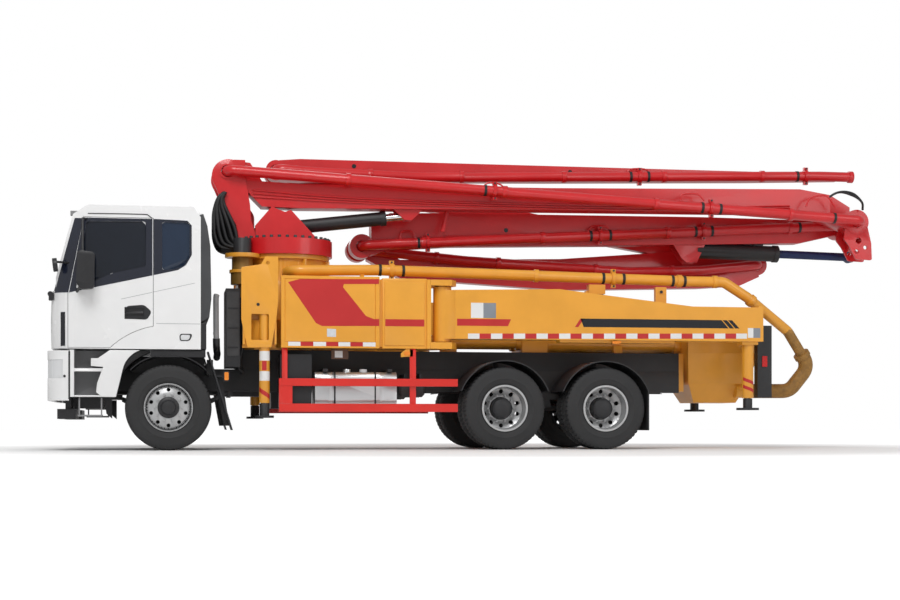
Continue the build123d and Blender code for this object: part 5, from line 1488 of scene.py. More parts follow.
@dataclass
class Markings:
    """Foils on the lockers, the outriggers and their tubes."""

    # y of the faces that carry the foils.
    locker_face: float = 1.244
    second_face: float = 1.230
    leg_face: float = 1.248
    graphic: Points = (
        (1.492, 2.13), (1.643, 2.17), (2.652, 2.185), (2.652, 2.122), (2.203, 2.115),
        (2.19, 2.076), (2.485, 1.711), (2.588, 1.673), (2.655, 1.675), (2.655, 1.585),
        (1.923, 1.577), (1.846, 1.614),
    )
    second_stripe: Points = ((2.735, 1.585), (2.735, 1.675), (3.240, 1.675), (3.240, 1.585))
    label: Points = ((1.986, 1.545), (2.101, 1.540), (2.101, 1.439), (1.986, 1.442))
    locker_tape: tuple[float, ...] = (1.494, 1.650, 1.812, 1.975, 2.132, 2.284, 2.445, 2.607)
    locker_tape_levels: tuple[float, float] = (1.375, 1.322)
    # Outlines on the rear outrigger with their finish numbers.
    leg_marks: tuple[tuple[Points, int], ...] = (
        (((3.665, 1.60), (3.665, 1.69), (4.375, 1.69), (4.335, 1.60)), 0),
        (((3.847, 1.702), (3.847, 1.898), (4.010, 1.898), (4.010, 1.702)), 1),
        (((4.010, 1.702), (4.010, 1.898), (4.176, 1.898), (4.176, 1.702)), 2),
        (((5.227, 1.598), (5.294, 1.70), (5.340, 1.70), (5.272, 1.598)), 0),
        (((5.345, 1.60), (5.300, 1.71), (7.225, 1.71), (7.322, 1.602)), 3),
        (((7.338, 1.602), (7.241, 1.71), (7.300, 1.71), (7.400, 1.602)), 3),
        (((7.416, 1.602), (7.316, 1.71), (7.372, 1.71), (7.474, 1.602)), 3),
        (((7.592, 1.480), (7.592, 1.610), (7.668, 1.610), (7.668, 1.480)), 1),
        (((7.668, 1.480), (7.668, 1.610), (7.765, 1.610), (7.765, 1.480)), 2),
    )
    tape_start: float = 3.808
    tape_end: float = 7.579
    tape_foot: tuple[float, float] = (1.432, 1.468)
    tape_height: float = 0.068
    tape_blocks: int = 25
    # Jack tubes: station, y and radius; foils by the level of their foot.
    front_tube: tuple[float, float, float] = (1.20, 1.155, 0.067)
    front_rings: tuple[tuple[float, int], ...] = ((1.135, 1), (1.010, 0), (0.880, 1))
    ring_height: float = 0.12
    wide_turn: tuple[float, float] = (20.0, 160.0)
    narrow_turn: tuple[float, float] = (60.0, 110.0)
    low_ring: tuple[float, float, float] = (0.74, 0.64, 0.06)
    head_bolt: tuple[float, float, float] = (1.115, 1.242, 1.842)
    bolt_radius: float = 0.020
    bolt_height: float = 0.006
    rear_tube: tuple[float, float, float] = (7.635, 1.12, 0.076)
    rear_rings: tuple[float, ...] = (0.745, 0.845)
    rear_climb: float = 0.07
    rear_ring_height: float = 0.045

    def locker_foils(self, surface: Surface, side: float) -> None:
        """Graphic, stripes, label and the tape below on the lockers.

        Args:
            surface: takes the foils.
            side: 1 left, -1 right.
        """
        surface.on_side(decal(self.graphic, self.locker_face), side)
        surface.on_side(decal(self.second_stripe, self.second_face), side)
        surface.on_side(decal(self.label, self.locker_face), side, 2)
        top, foot = self.locker_tape_levels
        for number, (front, rear) in enumerate(zip(self.locker_tape, self.locker_tape[1:])):
            tape = ((front, top), (rear, top), (rear, foot), (front, foot))
            surface.on_side(decal(tape, self.locker_face), side, 1 - number % 2)

    def leg_foils(self, surface: Surface, side: float) -> None:
        """Stripes, black band, tape and blank stickers on a rear outrigger.

        Args:
            surface: takes the foils.
            side: 1 left, -1 right.
        """
        for outline, tint in self.leg_marks:
            surface.on_side(decal(outline, self.leg_face), side, tint)
        stops = np.linspace(self.tape_start, self.tape_end, self.tape_blocks + 1)
        foot = np.linspace(*self.tape_foot, self.tape_blocks + 1)
        top = foot + self.tape_height
        for number in range(self.tape_blocks):
            a, b = number, number + 1
            start, end = (stops[a], foot[a], top[a]), (stops[b], foot[b], top[b])
            tape = (start[:2], start[::2], end[::2], end[:2])
            surface.on_side(decal(tape, self.leg_face), side, 1 - number % 2)

    def tube_foils(self, name: str, side: float) -> None:
        """Red and white foils round the outriggers' jack tubes, and the front leg's head bolt.

        Args:
            name: left or right.
            side: 1 left, -1 right.
        """
        front = Surface()
        for low, tint in self.front_rings:
            turn = self.wide_turn if tint else self.narrow_turn
            ring = patch_on_tube(*self.front_tube, turn, low, low, self.ring_height)
            front.on_side(ring, side, tint)
        front.on_side(patch_on_tube(*self.front_tube, self.wide_turn, *self.low_ring), side)
        station, y, z = self.head_bolt
        profile = disc_profile(self.bolt_radius, 0.0, self.bolt_height)
        bolt = ring_part(profile, (at(station), y, z), 16, "Y")
        front.on_side(bolt, side, 3)
        finishes = [TAPE_RED, TAPE_WHITE, PLATE_GREY, TRIM_BLACK]
        front.piece(f"front_leg_foils_{name}", f"front_leg_{name}", finishes)
        rear = Surface()
        self.leg_foils(rear, side)
        for low in self.rear_rings:
            start = low + self.rear_climb
            height = self.rear_ring_height
            ring = patch_on_tube(*self.rear_tube, self.wide_turn, start, low, height)
            rear.on_side(ring, side)
        finishes = [TAPE_RED, TAPE_WHITE, LABEL_GREY, GLOSS_BLACK]
        rear.piece(f"rear_leg_foils_{name}", f"rear_leg_{name}", finishes)

    def build(self) -> None:
        """Makes the foils of both sides."""
        lockers = Surface()
        for name, side in SIDES:
            self.locker_foils(lockers, side)
            self.tube_foils(name, side)
        lockers.piece("locker_foils", "chassis", [TAPE_RED, TAPE_WHITE, PLATE_GREY])


@dataclass(frozen=True)
class Plate:
    """A flat plate seen from the side."""

    outline: Points
    faces: tuple[float, float]
    finish: Finish
    corner: float = 0.0

    def part(self) -> Part:
        """Points and faces, with blended corners where the corner radius isn't 0."""
        outline = rounded(self.outline, self.corner) if self.corner else self.outline
        return side_plate(outline, *self.faces)


@dataclass(frozen=True)
class Block:
    """A box given by front and rear station, y range and levels."""

    edges: tuple[float, float, float, float, float, float]
    finish: Finish

    def part(self) -> Part:
        """Points and faces."""
        return station_box(*self.edges)


@dataclass
class Fittings:
    """Small things bolted to the chassis: lamps, straps, steps, snorkel, cabinet, tanks, hoses."""

    finishes: tuple[Finish, ...] = (
        TRIM_BLACK, PLATE_GREY, PLATE_BROWN, AMBER, LAMP_RED, FENDER_GREY, DECK_YELLOW, TAPE_RED,
        CAST_GREY,
    )
    # Fuel tank: (distance from its inner side, height) of a strap.
    tank_section: Points = ((0.0, 0.555), (0.0, 1.005), (0.47, 1.005), (0.47, 0.555))
    tank_corner: float = 0.06
    tank_y: float = 0.643
    tank_straps: tuple[float, ...] = (2.10, 2.62)
    strap_radius: float = 0.010
    cap: Points = (
        (AXIS_GAP, 0.0), (0.045, 0.0), (0.050, 0.012), (0.050, 0.035), (0.042, 0.045),
        (AXIS_GAP, 0.045),
    )
    cap_place: tuple[float, float, float] = (2.48, 0.98, 0.995)
    brown_plate: Plate = Plate(
        ((2.055, 1.165), (2.055, 1.290), (2.275, 1.290), (2.275, 1.165)), (1.085, 1.100),
        PLATE_BROWN, 0.012,
    )
    sticker: Points = ((2.10, 1.185), (2.10, 1.270), (2.20, 1.270), (2.20, 1.185))
    marker_lamps: tuple[Union[Plate, Block], ...] = (
        Plate(((0.685, 0.870), (0.685, 1.000), (0.757, 1.000), (0.757, 0.870)), (1.170, 1.205),
              TRIM_BLACK, 0.012),
        Plate(((0.695, 0.885), (0.695, 0.985), (0.747, 0.985), (0.747, 0.885)), (1.203, 1.214),
              AMBER, 0.014),
        Block((0.60, 0.72, 0.90, 1.172, 0.925, 0.945), TRIM_BLACK),
        Plate(((2.942, 1.192), (2.942, 1.240), (3.02, 1.305), (3.098, 1.283), (3.098, 1.200)),
              (1.18, 1.20), DECK_YELLOW),
        Plate(((2.985, 1.212), (2.985, 1.262), (3.06, 1.262), (3.06, 1.212)), (1.20, 1.212),
              AMBER, 0.012),
        Plate(((5.735, 1.385), (5.735, 1.418), (5.85, 1.422), (5.85, 1.390)), (1.215, 1.2455),
              AMBER, 0.008),
        Plate(((7.878, 1.105), (7.878, 1.250), (7.949, 1.250), (7.949, 1.105)), (1.008, 1.022),
              LAMP_RED, 0.012),
    )
    stands: tuple[Block, ...] = (
        Block((5.50, 5.72, 0.80, 0.94, 2.06, 2.185), DECK_YELLOW),
        Block((5.46, 5.52, 0.83, 0.91, 1.60, 2.10), DECK_YELLOW),
        Block((6.42, 6.57, 0.84, 0.92, 1.56, 2.165), DECK_YELLOW),
    )
    stand_bolt: tuple[float, float, float] = (6.495, 0.92, 2.10)
    stand_bolt_radius: float = 0.020
    stand_bolt_height: float = 0.02
    # Air intake, as (station, y, height) along its middle.
    intake: tuple[tuple[float, float, float], ...] = (
        (0.600, 1.0, 1.40), (0.597, 1.0, 1.55), (0.596, 1.0, 1.75), (0.596, 1.0, 1.930),
        (0.604, 0.99, 1.975),
    )
    intake_radius: float = 0.036
    intake_elbow: tuple[tuple[float, float, float], ...] = (
        (0.600, 1.0, 1.42), (0.602, 0.98, 1.33), (0.61, 0.86, 1.27), (0.62, 0.70, 1.24),
        (0.62, 0.46, 1.20),
    )
    elbow_radius: float = 0.045
    # The large black box stands where the space behind the cab lies in shade: its black is painted
    # shade, drawn as a cabinet with a grey plate.
    cabinet: tuple[Union[Plate, Block], ...] = (
        Block((0.575, 0.625, 0.44, 0.98, 1.50, 1.53), TRIM_BLACK),
        Block((0.72, 0.90, 0.25, 1.00, 1.06, 2.06), TRIM_BLACK),
        Plate(((0.735, 1.20), (0.735, 2.02), (0.885, 2.02), (0.885, 1.20)), (0.99, 1.008),
              CAST_GREY, 0.02),
    )
    louvres: tuple[float, ...] = (1.30, 1.55, 1.80)
    louvre_ends: tuple[float, ...] = (0.745, 0.875, 1.004, 1.014)
    louvre_height: float = 0.015
    edge: float = 0.0025
    smooth: float = 32.0
    hose_smooth: float = 40.0
    front_gear: tuple[Union[Plate, Block], ...] = (
        Block((-1.365, -1.14, 0.35, 1.10, 0.395, 0.52), TRIM_BLACK),
        Block((-1.27, -1.20, 0.42, 0.50, 0.50, 0.80), TRIM_BLACK),
        Block((-1.27, -1.20, 0.95, 1.03, 0.50, 0.68), TRIM_BLACK),
        Block((-1.11, -0.81, 1.02, 1.20, 0.425, 0.447), FENDER_GREY),
        Block((-1.10, -0.80, 0.55, 0.95, 0.53, 0.66), TRIM_BLACK),
        Plate(((-0.80, 0.66), (-0.77, 0.46), (-0.70, 0.40), (-0.70, 0.66)), (0.90, 0.95),
              TRIM_BLACK),
    )
    # Liner over the front wheel: radii, angles in degrees and y range.
    arch_radii: tuple[float, float] = (0.66, 0.672)
    arch_turn: tuple[float, float] = (45.0, 135.0)
    arch_faces: tuple[float, float] = (0.60, 1.205)
    side_gear: tuple[Union[Plate, Block], ...] = (
        Block((-0.46, 0.46, 0.590, 0.602, 1.00, 1.20), TRIM_BLACK),
        Block((-0.22, 0.46, 1.17, 1.20, 1.17, 1.255), TRIM_BLACK),
        Plate(((0.575, 0.96), (0.665, 0.96), (0.765, 0.31), (0.695, 0.31)), (0.99, 1.015),
              TRIM_BLACK),
        Block((-1.10, -1.082, 1.18, 1.192, 0.43, 0.672), FENDER_GREY),
        Block((-0.83, -0.812, 1.18, 1.192, 0.43, 0.672), FENDER_GREY),
        Block((1.40, 1.80, 0.75, 1.15, 0.55, 1.22), TRIM_BLACK),
    )
    air_tank: Points = (
        (AXIS_GAP, 0.0), (0.085, 0.0), (0.118, 0.03), (0.118, 0.31), (0.085, 0.34),
        (AXIS_GAP, 0.34),
    )
    air_tank_places: tuple[tuple[float, float, float], ...] = (
        (3.28, 0.70, 0.80), (3.28, 0.96, 0.80),
    )
    air_brackets: tuple[Block, ...] = (
        Block((3.00, 3.03, 0.58, 1.08, 0.92, 0.98), TRIM_BLACK),
        Block((3.20, 3.23, 0.58, 1.08, 0.92, 0.98), TRIM_BLACK),
    )
    # Hoses beside the cabinet.
    hose_count: int = 9
    hose_start: float = 0.30
    hose_pitch: float = 0.075
    hose_sway: float = 0.018
    hose_radius: float = 0.019

    def rows(self, surface: Surface, items: Iterable[Union[Plate, Block]], side: float) -> None:
        """Adds the parts of a table.

        Args:
            surface: takes the parts.
            items: the table's rows, as they are on the left.
            side: 1 left, -1 right.
        """
        for item in items:
            surface.on_side(item.part(), side, self.finishes.index(item.finish))

    def tank_gear(self, surface: Surface) -> None:
        """Two straps and the filler cap of the fuel tank, and the brown plate above it.

        Args:
            surface: takes the parts.
        """
        section = np.array(rounded(self.tank_section, self.tank_corner))
        for station in self.tank_straps:
            x_row = np.full(len(section), at(station))
            ring = np.column_stack([x_row, self.tank_y + section[:, 0], section[:, 1]])
            surface.add(*tube_part(np.vstack([ring, ring[:1]]), self.strap_radius, 6))
        station, y, z = self.cap_place
        grey = self.finishes.index(PLATE_GREY)
        surface.add(*ring_part(self.cap, (at(station), y, z), 24, "Z"), grey)
        self.rows(surface, [self.brown_plate], 1.0)
        surface.add(*decal(self.sticker, self.brown_plate.faces[1]), grey)

    def build(self) -> None:
        """Makes the fittings."""
        surface = Surface()
        self.tank_gear(surface)
        for _, side in SIDES:
            self.rows(surface, self.marker_lamps, side)
        self.snorkel(surface)
        self.pipe_stands(surface)
        self.low_gear(surface)
        surface.piece("fittings", "chassis", self.finishes, self.edge, self.smooth)
        self.hoses()

    def pipe_stands(self, surface: Surface) -> None:
        """Posts that carry the delivery line beside the left rear leg, and the bolt on one.

        Args:
            surface: takes the parts.
        """
        self.rows(surface, self.stands, 1.0)
        station, y, z = self.stand_bolt
        profile = disc_profile(self.stand_bolt_radius, 0.0, self.stand_bolt_height)
        surface.add(*ring_part(profile, (at(station), y, z), 12, "Y"))

    def snorkel(self, surface: Surface) -> None:
        """Pale air intake behind the cab with its bracket, and the cabinet beside the engine, whose
        large black box is painted shade filling the shaded space there.

        Args:
            surface: takes the parts.
        """
        pipe = tube_part(smooth_path(self.intake, 20), self.intake_radius, 16)
        surface.add(*pipe, self.finishes.index(FENDER_GREY))
        surface.add(*tube_part(smooth_path(self.intake_elbow, 22), self.elbow_radius, 16))
        # Cabinet: its large black box is painted shade.
        self.rows(surface, self.cabinet, 1.0)
        for z in self.louvres:
            surface.add(*station_box(*self.louvre_ends, z, z + self.louvre_height))

    def low_gear(self, surface: Surface) -> None:
        """Front underrun bar, kerb steps, wheel arch liner, air tanks and battery box.

        Args:
            surface: takes the parts.
        """
        turn = np.linspace(*np.radians(self.arch_turn), 15)
        inner, outer = self.arch_radii
        arch = [(inner * cos(a), WHEEL_Z + inner * sin(a)) for a in turn]
        arch += [(outer * cos(a), WHEEL_Z + outer * sin(a)) for a in turn[::-1]]
        liner = outward(*side_plate(arch, *self.arch_faces))
        for _, side in SIDES:
            self.rows(surface, self.front_gear, side)
            surface.on_side(liner, side)
            self.rows(surface, self.side_gear, side)
            for station, y, z in self.air_tank_places:
                tank = ring_part(self.air_tank, (at(station), y, z), 24, "X")
                surface.on_side(tank, side, self.finishes.index(CAST_GREY))
            self.rows(surface, self.air_brackets, side)

    def hoses(self) -> None:
        """Black hoses from the pedestal down to the engine, gathered beside the cabinet."""
        surface = Surface()
        for number in range(self.hose_count):
            y = self.hose_start + self.hose_pitch * number
            sway = self.hose_sway * sin(2.1 * number)
            path = [
                (0.98, y, 1.75 + 0.03 * cos(number)), (0.935 + sway, y + 0.01, 1.95),
                (0.93, y + 0.02, 1.60 + sway), (0.92 - sway, y, 1.30),
                (0.90 + sway, y - 0.02, 1.08), (0.95, y - 0.06, 1.00),
            ]
            surface.add(*tube_part(smooth_path(path, 30), self.hose_radius, 10))
        surface.piece("deck_hoses", "chassis", [RUBBER_HOSE], smooth=self.hose_smooth)


@dataclass(frozen=True)
class PipeRun:
    """A straight pipe with its straps and couplings, by station."""

    body: str
    bar: tuple[tuple[float, float, float], tuple[float, float, float]]
    straps: tuple[float, ...]
    couplings: tuple[float, ...]
    paint: Finish

    def share(self, station: float) -> float:
        """How far along the pipe a station lies: 0 at its start, 1 at its end.

        Args:
            station: metres behind the front axle.

        Returns:
            The fraction.
        """
        return (station - self.bar[0][0]) / (self.bar[1][0] - self.bar[0][0])


@dataclass(frozen=True)
class ArmGear:
    """Hoops over an arm's couplings and its sight holes."""

    body: str
    lane: float
    hoops: tuple[Points, ...]
    face: float = 0.0
    holes: Points = ()


@dataclass
class Boom:
    """Turret, five arms, their cylinders, straps on the pipes and hoses on the mast."""

    # Elbow cylinder: (station, height) of both ends, its y, and how much of arm 2 is its barrel.
    elbow_base: tuple[float, float] = (7.33, 2.825)
    elbow_eye: tuple[float, float] = (9.775, 2.765)
    elbow_y: float = -0.49
    elbow_reach: float = 0.128
    elbow_stations: tuple[float, float] = (7.56, 8.90)
    pipe_radius: float = 0.070
    bolt_circle: float = 0.60
    bolt_count: int = 36
    bolt_level: float = 2.768
    slew_station: float = 1.53
    runs: tuple[PipeRun, ...] = (
        PipeRun("chassis", ((2.700, 0.880, 2.335), (6.880, 0.880, 2.250)),
                (2.10, 2.71, 3.015, 5.70, 5.98, 6.66, 6.825), (2.86, 5.84), DECK_YELLOW),
        PipeRun("arm_1", ((0.764, 0.335, 3.670), (9.611, 0.335, 3.197)),
                (4.21, 4.47, 7.26, 7.52, 9.19), (4.34, 7.39), BOOM_RED),
        PipeRun("arm_2", ((9.611, -0.260, 3.197), (2.622, -0.260, 2.782)),
                (3.39, 5.83, 6.11, 7.36, 7.60, 8.91), (3.52, 5.97, 7.48), BOOM_RED),
        PipeRun("arm_5", ((3.441, -0.440, 3.760), (9.300, -0.440, 3.925)),
                (6.46, 6.72, 8.95), (6.59, 9.08), BOOM_RED),
    )
    gear: tuple[ArmGear, ...] = (
        ArmGear("arm_1", 0.335, (
            ((6.96, 3.42), (6.99, 3.50), (7.20, 3.51), (7.30, 3.42)),
            ((8.78, 3.38), (8.86, 3.50), (9.08, 3.53), (9.22, 3.37)),
            ((4.18, 3.49), (4.24, 3.585), (4.42, 3.575), (4.50, 3.475)),
        )),
        ArmGear("arm_2", -0.26, (
            ((3.13, 2.86), (3.16, 2.98), (3.30, 2.985), (3.36, 2.87)),
            ((5.80, 3.02), (5.86, 3.11), (6.05, 3.115), (6.13, 3.04)),
        ), -0.360, ((4.643, 3.04),)),
        ArmGear("arm_5", -0.44, (
            ((6.42, 3.89), (6.47, 3.955), (6.68, 3.96), (6.76, 3.895)),
        ), -0.540, ((2.532, 3.905), (5.607, 3.905))),
    )
    # Straps and couplings stand out from the pipe by this, and are this wide.
    strap_out: float = 0.006
    strap_width: float = 0.036
    coupling_rings: Points = ((0.020, 0.052), (0.027, 0.020))
    clamp_bolt_radius: float = 0.013
    clamp_bolt_height: float = 0.020
    clamp_bolt_y: float = 0.035
    hoop_radius: float = 0.012
    hole_radius: float = 0.030
    rest_radius: float = 0.032
    loop_radius: float = 0.016
    line_radius: float = 0.011
    drum_bolt: tuple[float, float] = (0.022, 0.038)
    gear_smooth: float = 35.0
    hose_smooth: float = 40.0
    # Lug above and below a coupling: size, corner from the pipe's middle, and distance.
    lug: tuple[float, float, float] = (0.060, 0.055, 0.040)
    lug_corner: tuple[float, float] = (-0.030, -0.020)
    lug_height: float = 0.104
    rest_path: tuple[tuple[float, float, float], ...] = (
        (3.777, -0.12, 3.32), (3.74, -0.12, 3.14), (3.705, -0.12, 2.97),
    )
    # Front and rear layer of the mast's hoses; the others lie evenly between them.
    mast_arc: Points = (
        (0.720, 3.37), (0.650, 3.30), (0.605, 3.16), (0.598, 2.98), (0.605, 2.82), (0.665, 2.68),
        (0.800, 2.64), (0.905, 2.660),
    )
    mast_face: Points = (
        (0.735, 3.39), (0.700, 3.31), (0.715, 3.22), (0.790, 3.06), (0.850, 2.92), (0.872, 2.82),
        (0.885, 2.74), (0.905, 2.700),
    )
    mast_layers: int = 5
    mast_lanes: int = 7
    mast_hose_radius: float = 0.025

    def arm_two_choice(self, centres: np.ndarray) -> np.ndarray:
        """The elbow cylinder beside the second arm is black.

        Args:
            centres: N by 3 array of face centres.

        Returns:
            Finish numbers.
        """
        s = FRONT_AXLE_X - centres[:, 0]
        (start, level), (end, end_level) = self.elbow_base, self.elbow_eye
        line = level + (s - start) * ((end_level - level) / (end - start))
        away = np.hypot(centres[:, 1] - self.elbow_y, centres[:, 2] - line)
        first, last = self.elbow_stations
        return ((away < self.elbow_reach) & (s > first) & (s < last)).astype(int)

    def build(self) -> None:
        """Makes the boom's pieces."""
        dressed("turret", [BOOM_RED])
        dressed("arm_1", [BOOM_RED])
        dressed("arm_2", [BOOM_RED, FRAME_BLACK], self.arm_two_choice)
        for number in (3, 4, 5):
            dressed(f"arm_{number}", [BOOM_RED])
        dressed("lift_barrel", [FRAME_BLACK], bevel=SMALL_EDGE)
        dressed("lift_rod", [ROD_CHROME], bevel=SMALL_EDGE)
        dressed("elbow_rod", [SLEEVE_BLUE], bevel=SMALL_EDGE)
        self.straps()
        self.arm_fittings()
        self.turret_bolts()
        self.mast_hoses()

    def straps(self) -> None:
        """Black rubber straps round the pipes of the deck and of the first, second and last arm."""
        for run in self.runs:
            surface = Surface()
            for station in run.straps:
                part = run.share(station)
                if 0.0 < part < 1.0:
                    radius = self.pipe_radius + self.strap_out
                    surface.add(*band(run.bar, part, radius, self.strap_width))
            for station in run.couplings:
                self.clamp(surface, run.bar, run.share(station))
            finishes = [RUBBER_HOSE, run.paint, CAST_GREY]
            surface.piece(f"pipe_straps_{run.body}", run.body, finishes)

    def clamp(self, surface: Surface, bar: Sequence[Sequence[float]], fraction: float) -> None:
        """Two-part pipe coupling: a ribbed ring with a lug and a bolt above and below.

        Args:
            surface: takes the parts.
            bar: start and end of the pipe as (station, y, z).
            fraction: how far along it the coupling sits.
        """
        ends = np.array([(at(s), y, z) for s, y, z in bar], float)
        middle = ends[0] + (ends[1] - ends[0]) * fraction
        for out, width in self.coupling_rings:
            surface.add(*band(bar, fraction, self.pipe_radius + out, width), 1)
        profile = disc_profile(self.clamp_bolt_radius, 0.0, self.clamp_bolt_height)
        for up in (-1.0, 1.0):
            level = self.lug_height * up
            low = middle + np.array([*self.lug_corner, level - self.lug[2] / 2])
            surface.add(*box_part(low, low + np.array(self.lug)), 1)
            place = middle + np.array([0.0, self.clamp_bolt_y, level])
            surface.add(*ring_part(profile, place, 6, "Y"), 2)

    def arm_fittings(self) -> None:
        """Hoops over the couplings, sight holes, the arm rest and the short hoses of the arms."""
        for gear in self.gear:
            surface = Surface()
            for hoop in gear.hoops:
                y = gear.lane - self.hoop_radius
                line = smooth_path([(s, y, z) for s, z in hoop], 18)
                surface.add(*tube_part(line, self.hoop_radius, 8))
            for s, z in gear.holes:
                profile = disc_profile(self.hole_radius, -0.001, 0.003)
                hole = ring_part(profile, (at(s), gear.face, z), 20, "Y")
                surface.add(*hole, 1)
            if gear.body == "arm_1":
                self.first_arm_hoses(surface)
            finishes = [BOOM_RED, GLOSS_BLACK, RUBBER_HOSE]
            surface.piece(f"{gear.body}_fittings", gear.body, finishes, smooth=self.gear_smooth)

    def first_arm_hoses(self, surface: Surface) -> None:
        """Arm rest, two hose loops at the elbow and three lines along the first arm.

        Args:
            surface: takes the parts.
        """
        surface.add(*tube_part(smooth_path(self.rest_path, 8), self.rest_radius, 10))
        for number in range(2):
            loop = [
                (9.10, 0.05 + 0.05 * number, 3.46), (9.30, 0.20, 3.60),
                (9.48, 0.30, 3.58 - 0.03 * number), (9.62, 0.30, 3.46), (9.66, 0.24, 3.36),
            ]
            surface.add(*tube_part(smooth_path(loop, 26), self.loop_radius, 8), 2)
        for number in range(3):
            step = 0.03 * number
            line = [
                (1.10, 0.172, 3.44 - 0.045 * number), (2.60, 0.178, 3.36 - step),
                (4.90, 0.178, 3.34 - step), (7.40, 0.178, 3.36 - step), (8.60, 0.172, 3.40 - step),
            ]
            surface.add(*tube_part(smooth_path(line, 40), self.line_radius, 8))

    def turret_bolts(self) -> None:
        """Dark bolts round the slewing drum's foot."""
        surface = Surface()
        head = hex_bolt(*self.drum_bolt, "Z")
        turn = np.arange(self.bolt_count) * (2 * pi / self.bolt_count)
        spots = np.column_stack([
            at(self.slew_station) + self.bolt_circle * np.cos(turn),
            self.bolt_circle * np.sin(turn), np.full(self.bolt_count, self.bolt_level),
        ])
        surface.copies(*head, spots)
        surface.piece("drum_bolts", "turret", [CAST_GREY])

    def mast_hoses(self) -> None:
        """Bundle of hoses that hangs down the front of the mast."""
        surface = Surface()
        for layer in range(self.mast_layers):
            part = layer / (self.mast_layers - 1)
            for number in range(self.mast_lanes):
                y = -0.27 + 0.09 * number + 0.02 * (layer % 2)
                sway = 0.008 * sin(1.7 * number + layer)
                path = [
                    ((1 - part) * a[0] + part * m[0] + sway, y, (1 - part) * a[1] + part * m[1])
                    for a, m in zip(self.mast_arc, self.mast_face)
                ]
                surface.add(*tube_part(smooth_path(path, 30), self.mast_hose_radius, 10))
        surface.piece("mast_hoses", "turret", [RUBBER_HOSE], smooth=self.hose_smooth)


# ---------------------------------------------------------------- studio


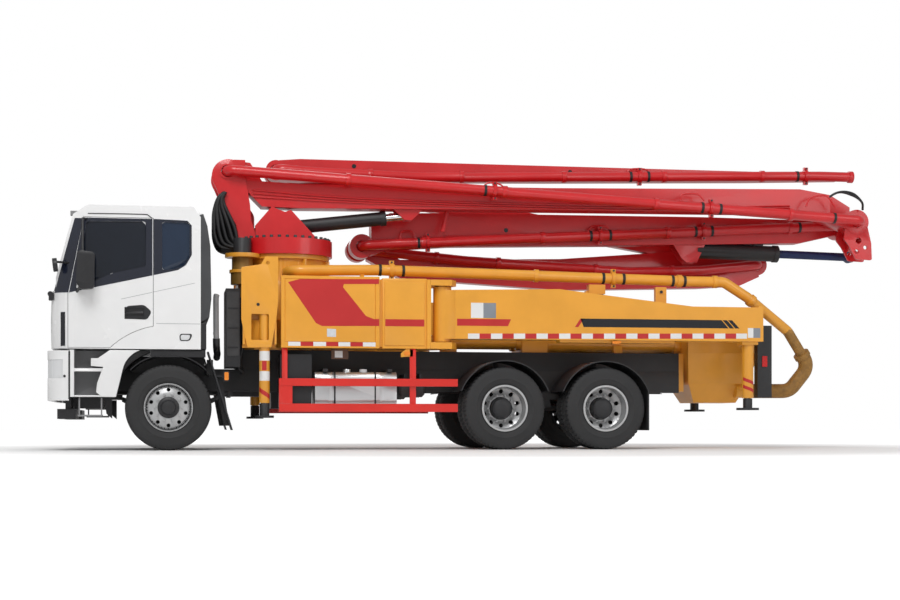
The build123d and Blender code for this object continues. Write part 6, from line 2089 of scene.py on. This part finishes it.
@dataclass
class Studio:
    """Pale floor, soft lamps and the camera."""

    distance: float = 21.93
    height: float = 0.3
    yaw: float = 170.2
    lens: float = 65.2
    rise: float = 0.1406
    # Floor glow for camera rays: none within the first radius of the truck's middle, full beyond
    # the second; the dim floor near the truck is painted shadow.
    floor_glow: float = 0.62
    painted_shadow_radius: float = 5.6
    glow_full: float = 10.5
    floor_half: float = 90.0
    floor_tone: tuple[float, float, float] = (0.90, 0.90, 0.90)
    floor_roughness: float = 0.9
    floor_gloss: float = 0.1
    sensor: float = 36.0
    view_depth: float = 200.0
    world_light: float = 0.50
    lamps: tuple[tuple[str, tuple[float, ...], tuple[float, ...], float, float], ...] = (
        ("key_lamp", (6.0, 12.0, 13.0), (0.0, 0.0, 1.5), 7.0, 1300.0),
        ("fill_lamp", (-9.0, 11.0, 7.0), (-1.0, 0.0, 2.0), 7.0, 330.0),
        ("far_lamp", (0.0, -13.0, 9.0), (0.0, 0.0, 2.0), 9.0, 450.0),
    )

    def floor(self) -> None:
        """Large pale floor that still takes the truck's shadow. For camera rays it glows more with
        distance from the truck's middle, so the dim floor near the truck is a painted shadow.
        """
        mesh = bpy.data.meshes.new("studio_floor")
        half = self.floor_half
        corners = [(-half, -half, 0), (half, -half, 0), (half, half, 0), (-half, half, 0)]
        mesh.from_pydata(corners, [], [[0, 1, 2, 3]])
        ground = bpy.data.objects.new("studio_floor", mesh)
        bpy.context.scene.collection.objects.link(ground)
        paint = bpy.data.materials.new("floor_pale")
        paint.use_nodes = True
        shader = paint.node_tree.nodes["Principled BSDF"]
        shader.inputs["Base Color"].default_value = (*self.floor_tone, 1.0)
        shader.inputs["Roughness"].default_value = self.floor_roughness
        shader.inputs["Specular IOR Level"].default_value = self.floor_gloss
        shader.inputs["Emission Color"].default_value = (1.0, 1.0, 1.0, 1.0)
        tree = paint.node_tree
        rays = tree.nodes.new("ShaderNodeLightPath")
        place = tree.nodes.new("ShaderNodeTexCoord")
        away = tree.nodes.new("ShaderNodeVectorMath")
        away.operation = "LENGTH"
        # Glow grows with distance from the truck's middle: painted shadow near the truck.
        rise = tree.nodes.new("ShaderNodeMapRange")
        rise.inputs["From Min"].default_value = self.painted_shadow_radius
        rise.inputs["From Max"].default_value = self.glow_full
        rise.inputs["To Max"].default_value = self.floor_glow
        glow = tree.nodes.new("ShaderNodeMath")
        glow.operation = "MULTIPLY"
        tree.links.new(place.outputs["Object"], away.inputs[0])
        tree.links.new(away.outputs["Value"], rise.inputs["Value"])
        tree.links.new(rise.outputs["Result"], glow.inputs[0])
        tree.links.new(rays.outputs["Is Camera Ray"], glow.inputs[1])
        tree.links.new(glow.outputs[0], shader.inputs["Emission Strength"])
        mesh.materials.append(paint)

    def world(self) -> None:
        """White for the camera and through glass; softer as a light and in reflections."""
        world = bpy.data.worlds.new("studio")
        bpy.context.scene.world = world
        world.use_nodes = True
        tree = world.node_tree
        shine = tree.nodes["Background"]
        rays = tree.nodes.new("ShaderNodeLightPath")
        seen = tree.nodes.new("ShaderNodeMath")
        seen.operation = "MAXIMUM"
        tree.links.new(rays.outputs["Is Camera Ray"], seen.inputs[0])
        tree.links.new(rays.outputs["Is Transmission Ray"], seen.inputs[1])
        level = tree.nodes.new("ShaderNodeMapRange")
        level.inputs["To Min"].default_value = self.world_light
        level.inputs["To Max"].default_value = 1.0
        tree.links.new(seen.outputs[0], level.inputs["Value"])
        tree.links.new(level.outputs["Result"], shine.inputs["Strength"])
        shine.inputs["Color"].default_value = (1.0, 1.0, 1.0, 1.0)

    def lamp(
        self, name: str, place: Sequence[float], aim: Sequence[float], size: float, power: float
    ) -> None:
        """One square area lamp.

        Args:
            name: the lamp's name.
            place: where it stands.
            aim: point that it faces.
            size: of its side.
            power: in watts.
        """
        data = bpy.data.lights.new(name, "AREA")
        data.size = size
        data.energy = power
        thing = bpy.data.objects.new(name, data)
        thing.location = place
        way = Vector(aim) - Vector(place)
        thing.rotation_euler = way.to_track_quat("-Z", "Y").to_euler()
        bpy.context.scene.collection.objects.link(thing)

    def build(self) -> None:
        """Makes floor, light and camera."""
        self.floor()
        self.world()
        for row in self.lamps:
            self.lamp(*row)
        data = bpy.data.cameras.new("camera")
        data.lens = self.lens
        data.sensor_width = self.sensor
        data.shift_y = self.rise
        data.clip_end = self.view_depth
        camera = bpy.data.objects.new("camera", data)
        camera.location = (FRONT_AXLE_X, self.distance, self.height)
        camera.rotation_euler = (radians(90.0), 0.0, radians(self.yaw))
        bpy.context.scene.collection.objects.link(camera)
        bpy.context.scene.camera = camera
        bpy.context.scene.view_settings.view_transform = "Standard"


def main() -> None:
    """Builds every sub-assembly in order."""
    for part in (Wheels(), Cab(), Deck(), Markings(), Fittings(), Boom(), Studio()):
        part.build()
        LOG.info("%s done", type(part).__name__)


if __name__ == "__main__":
    main()
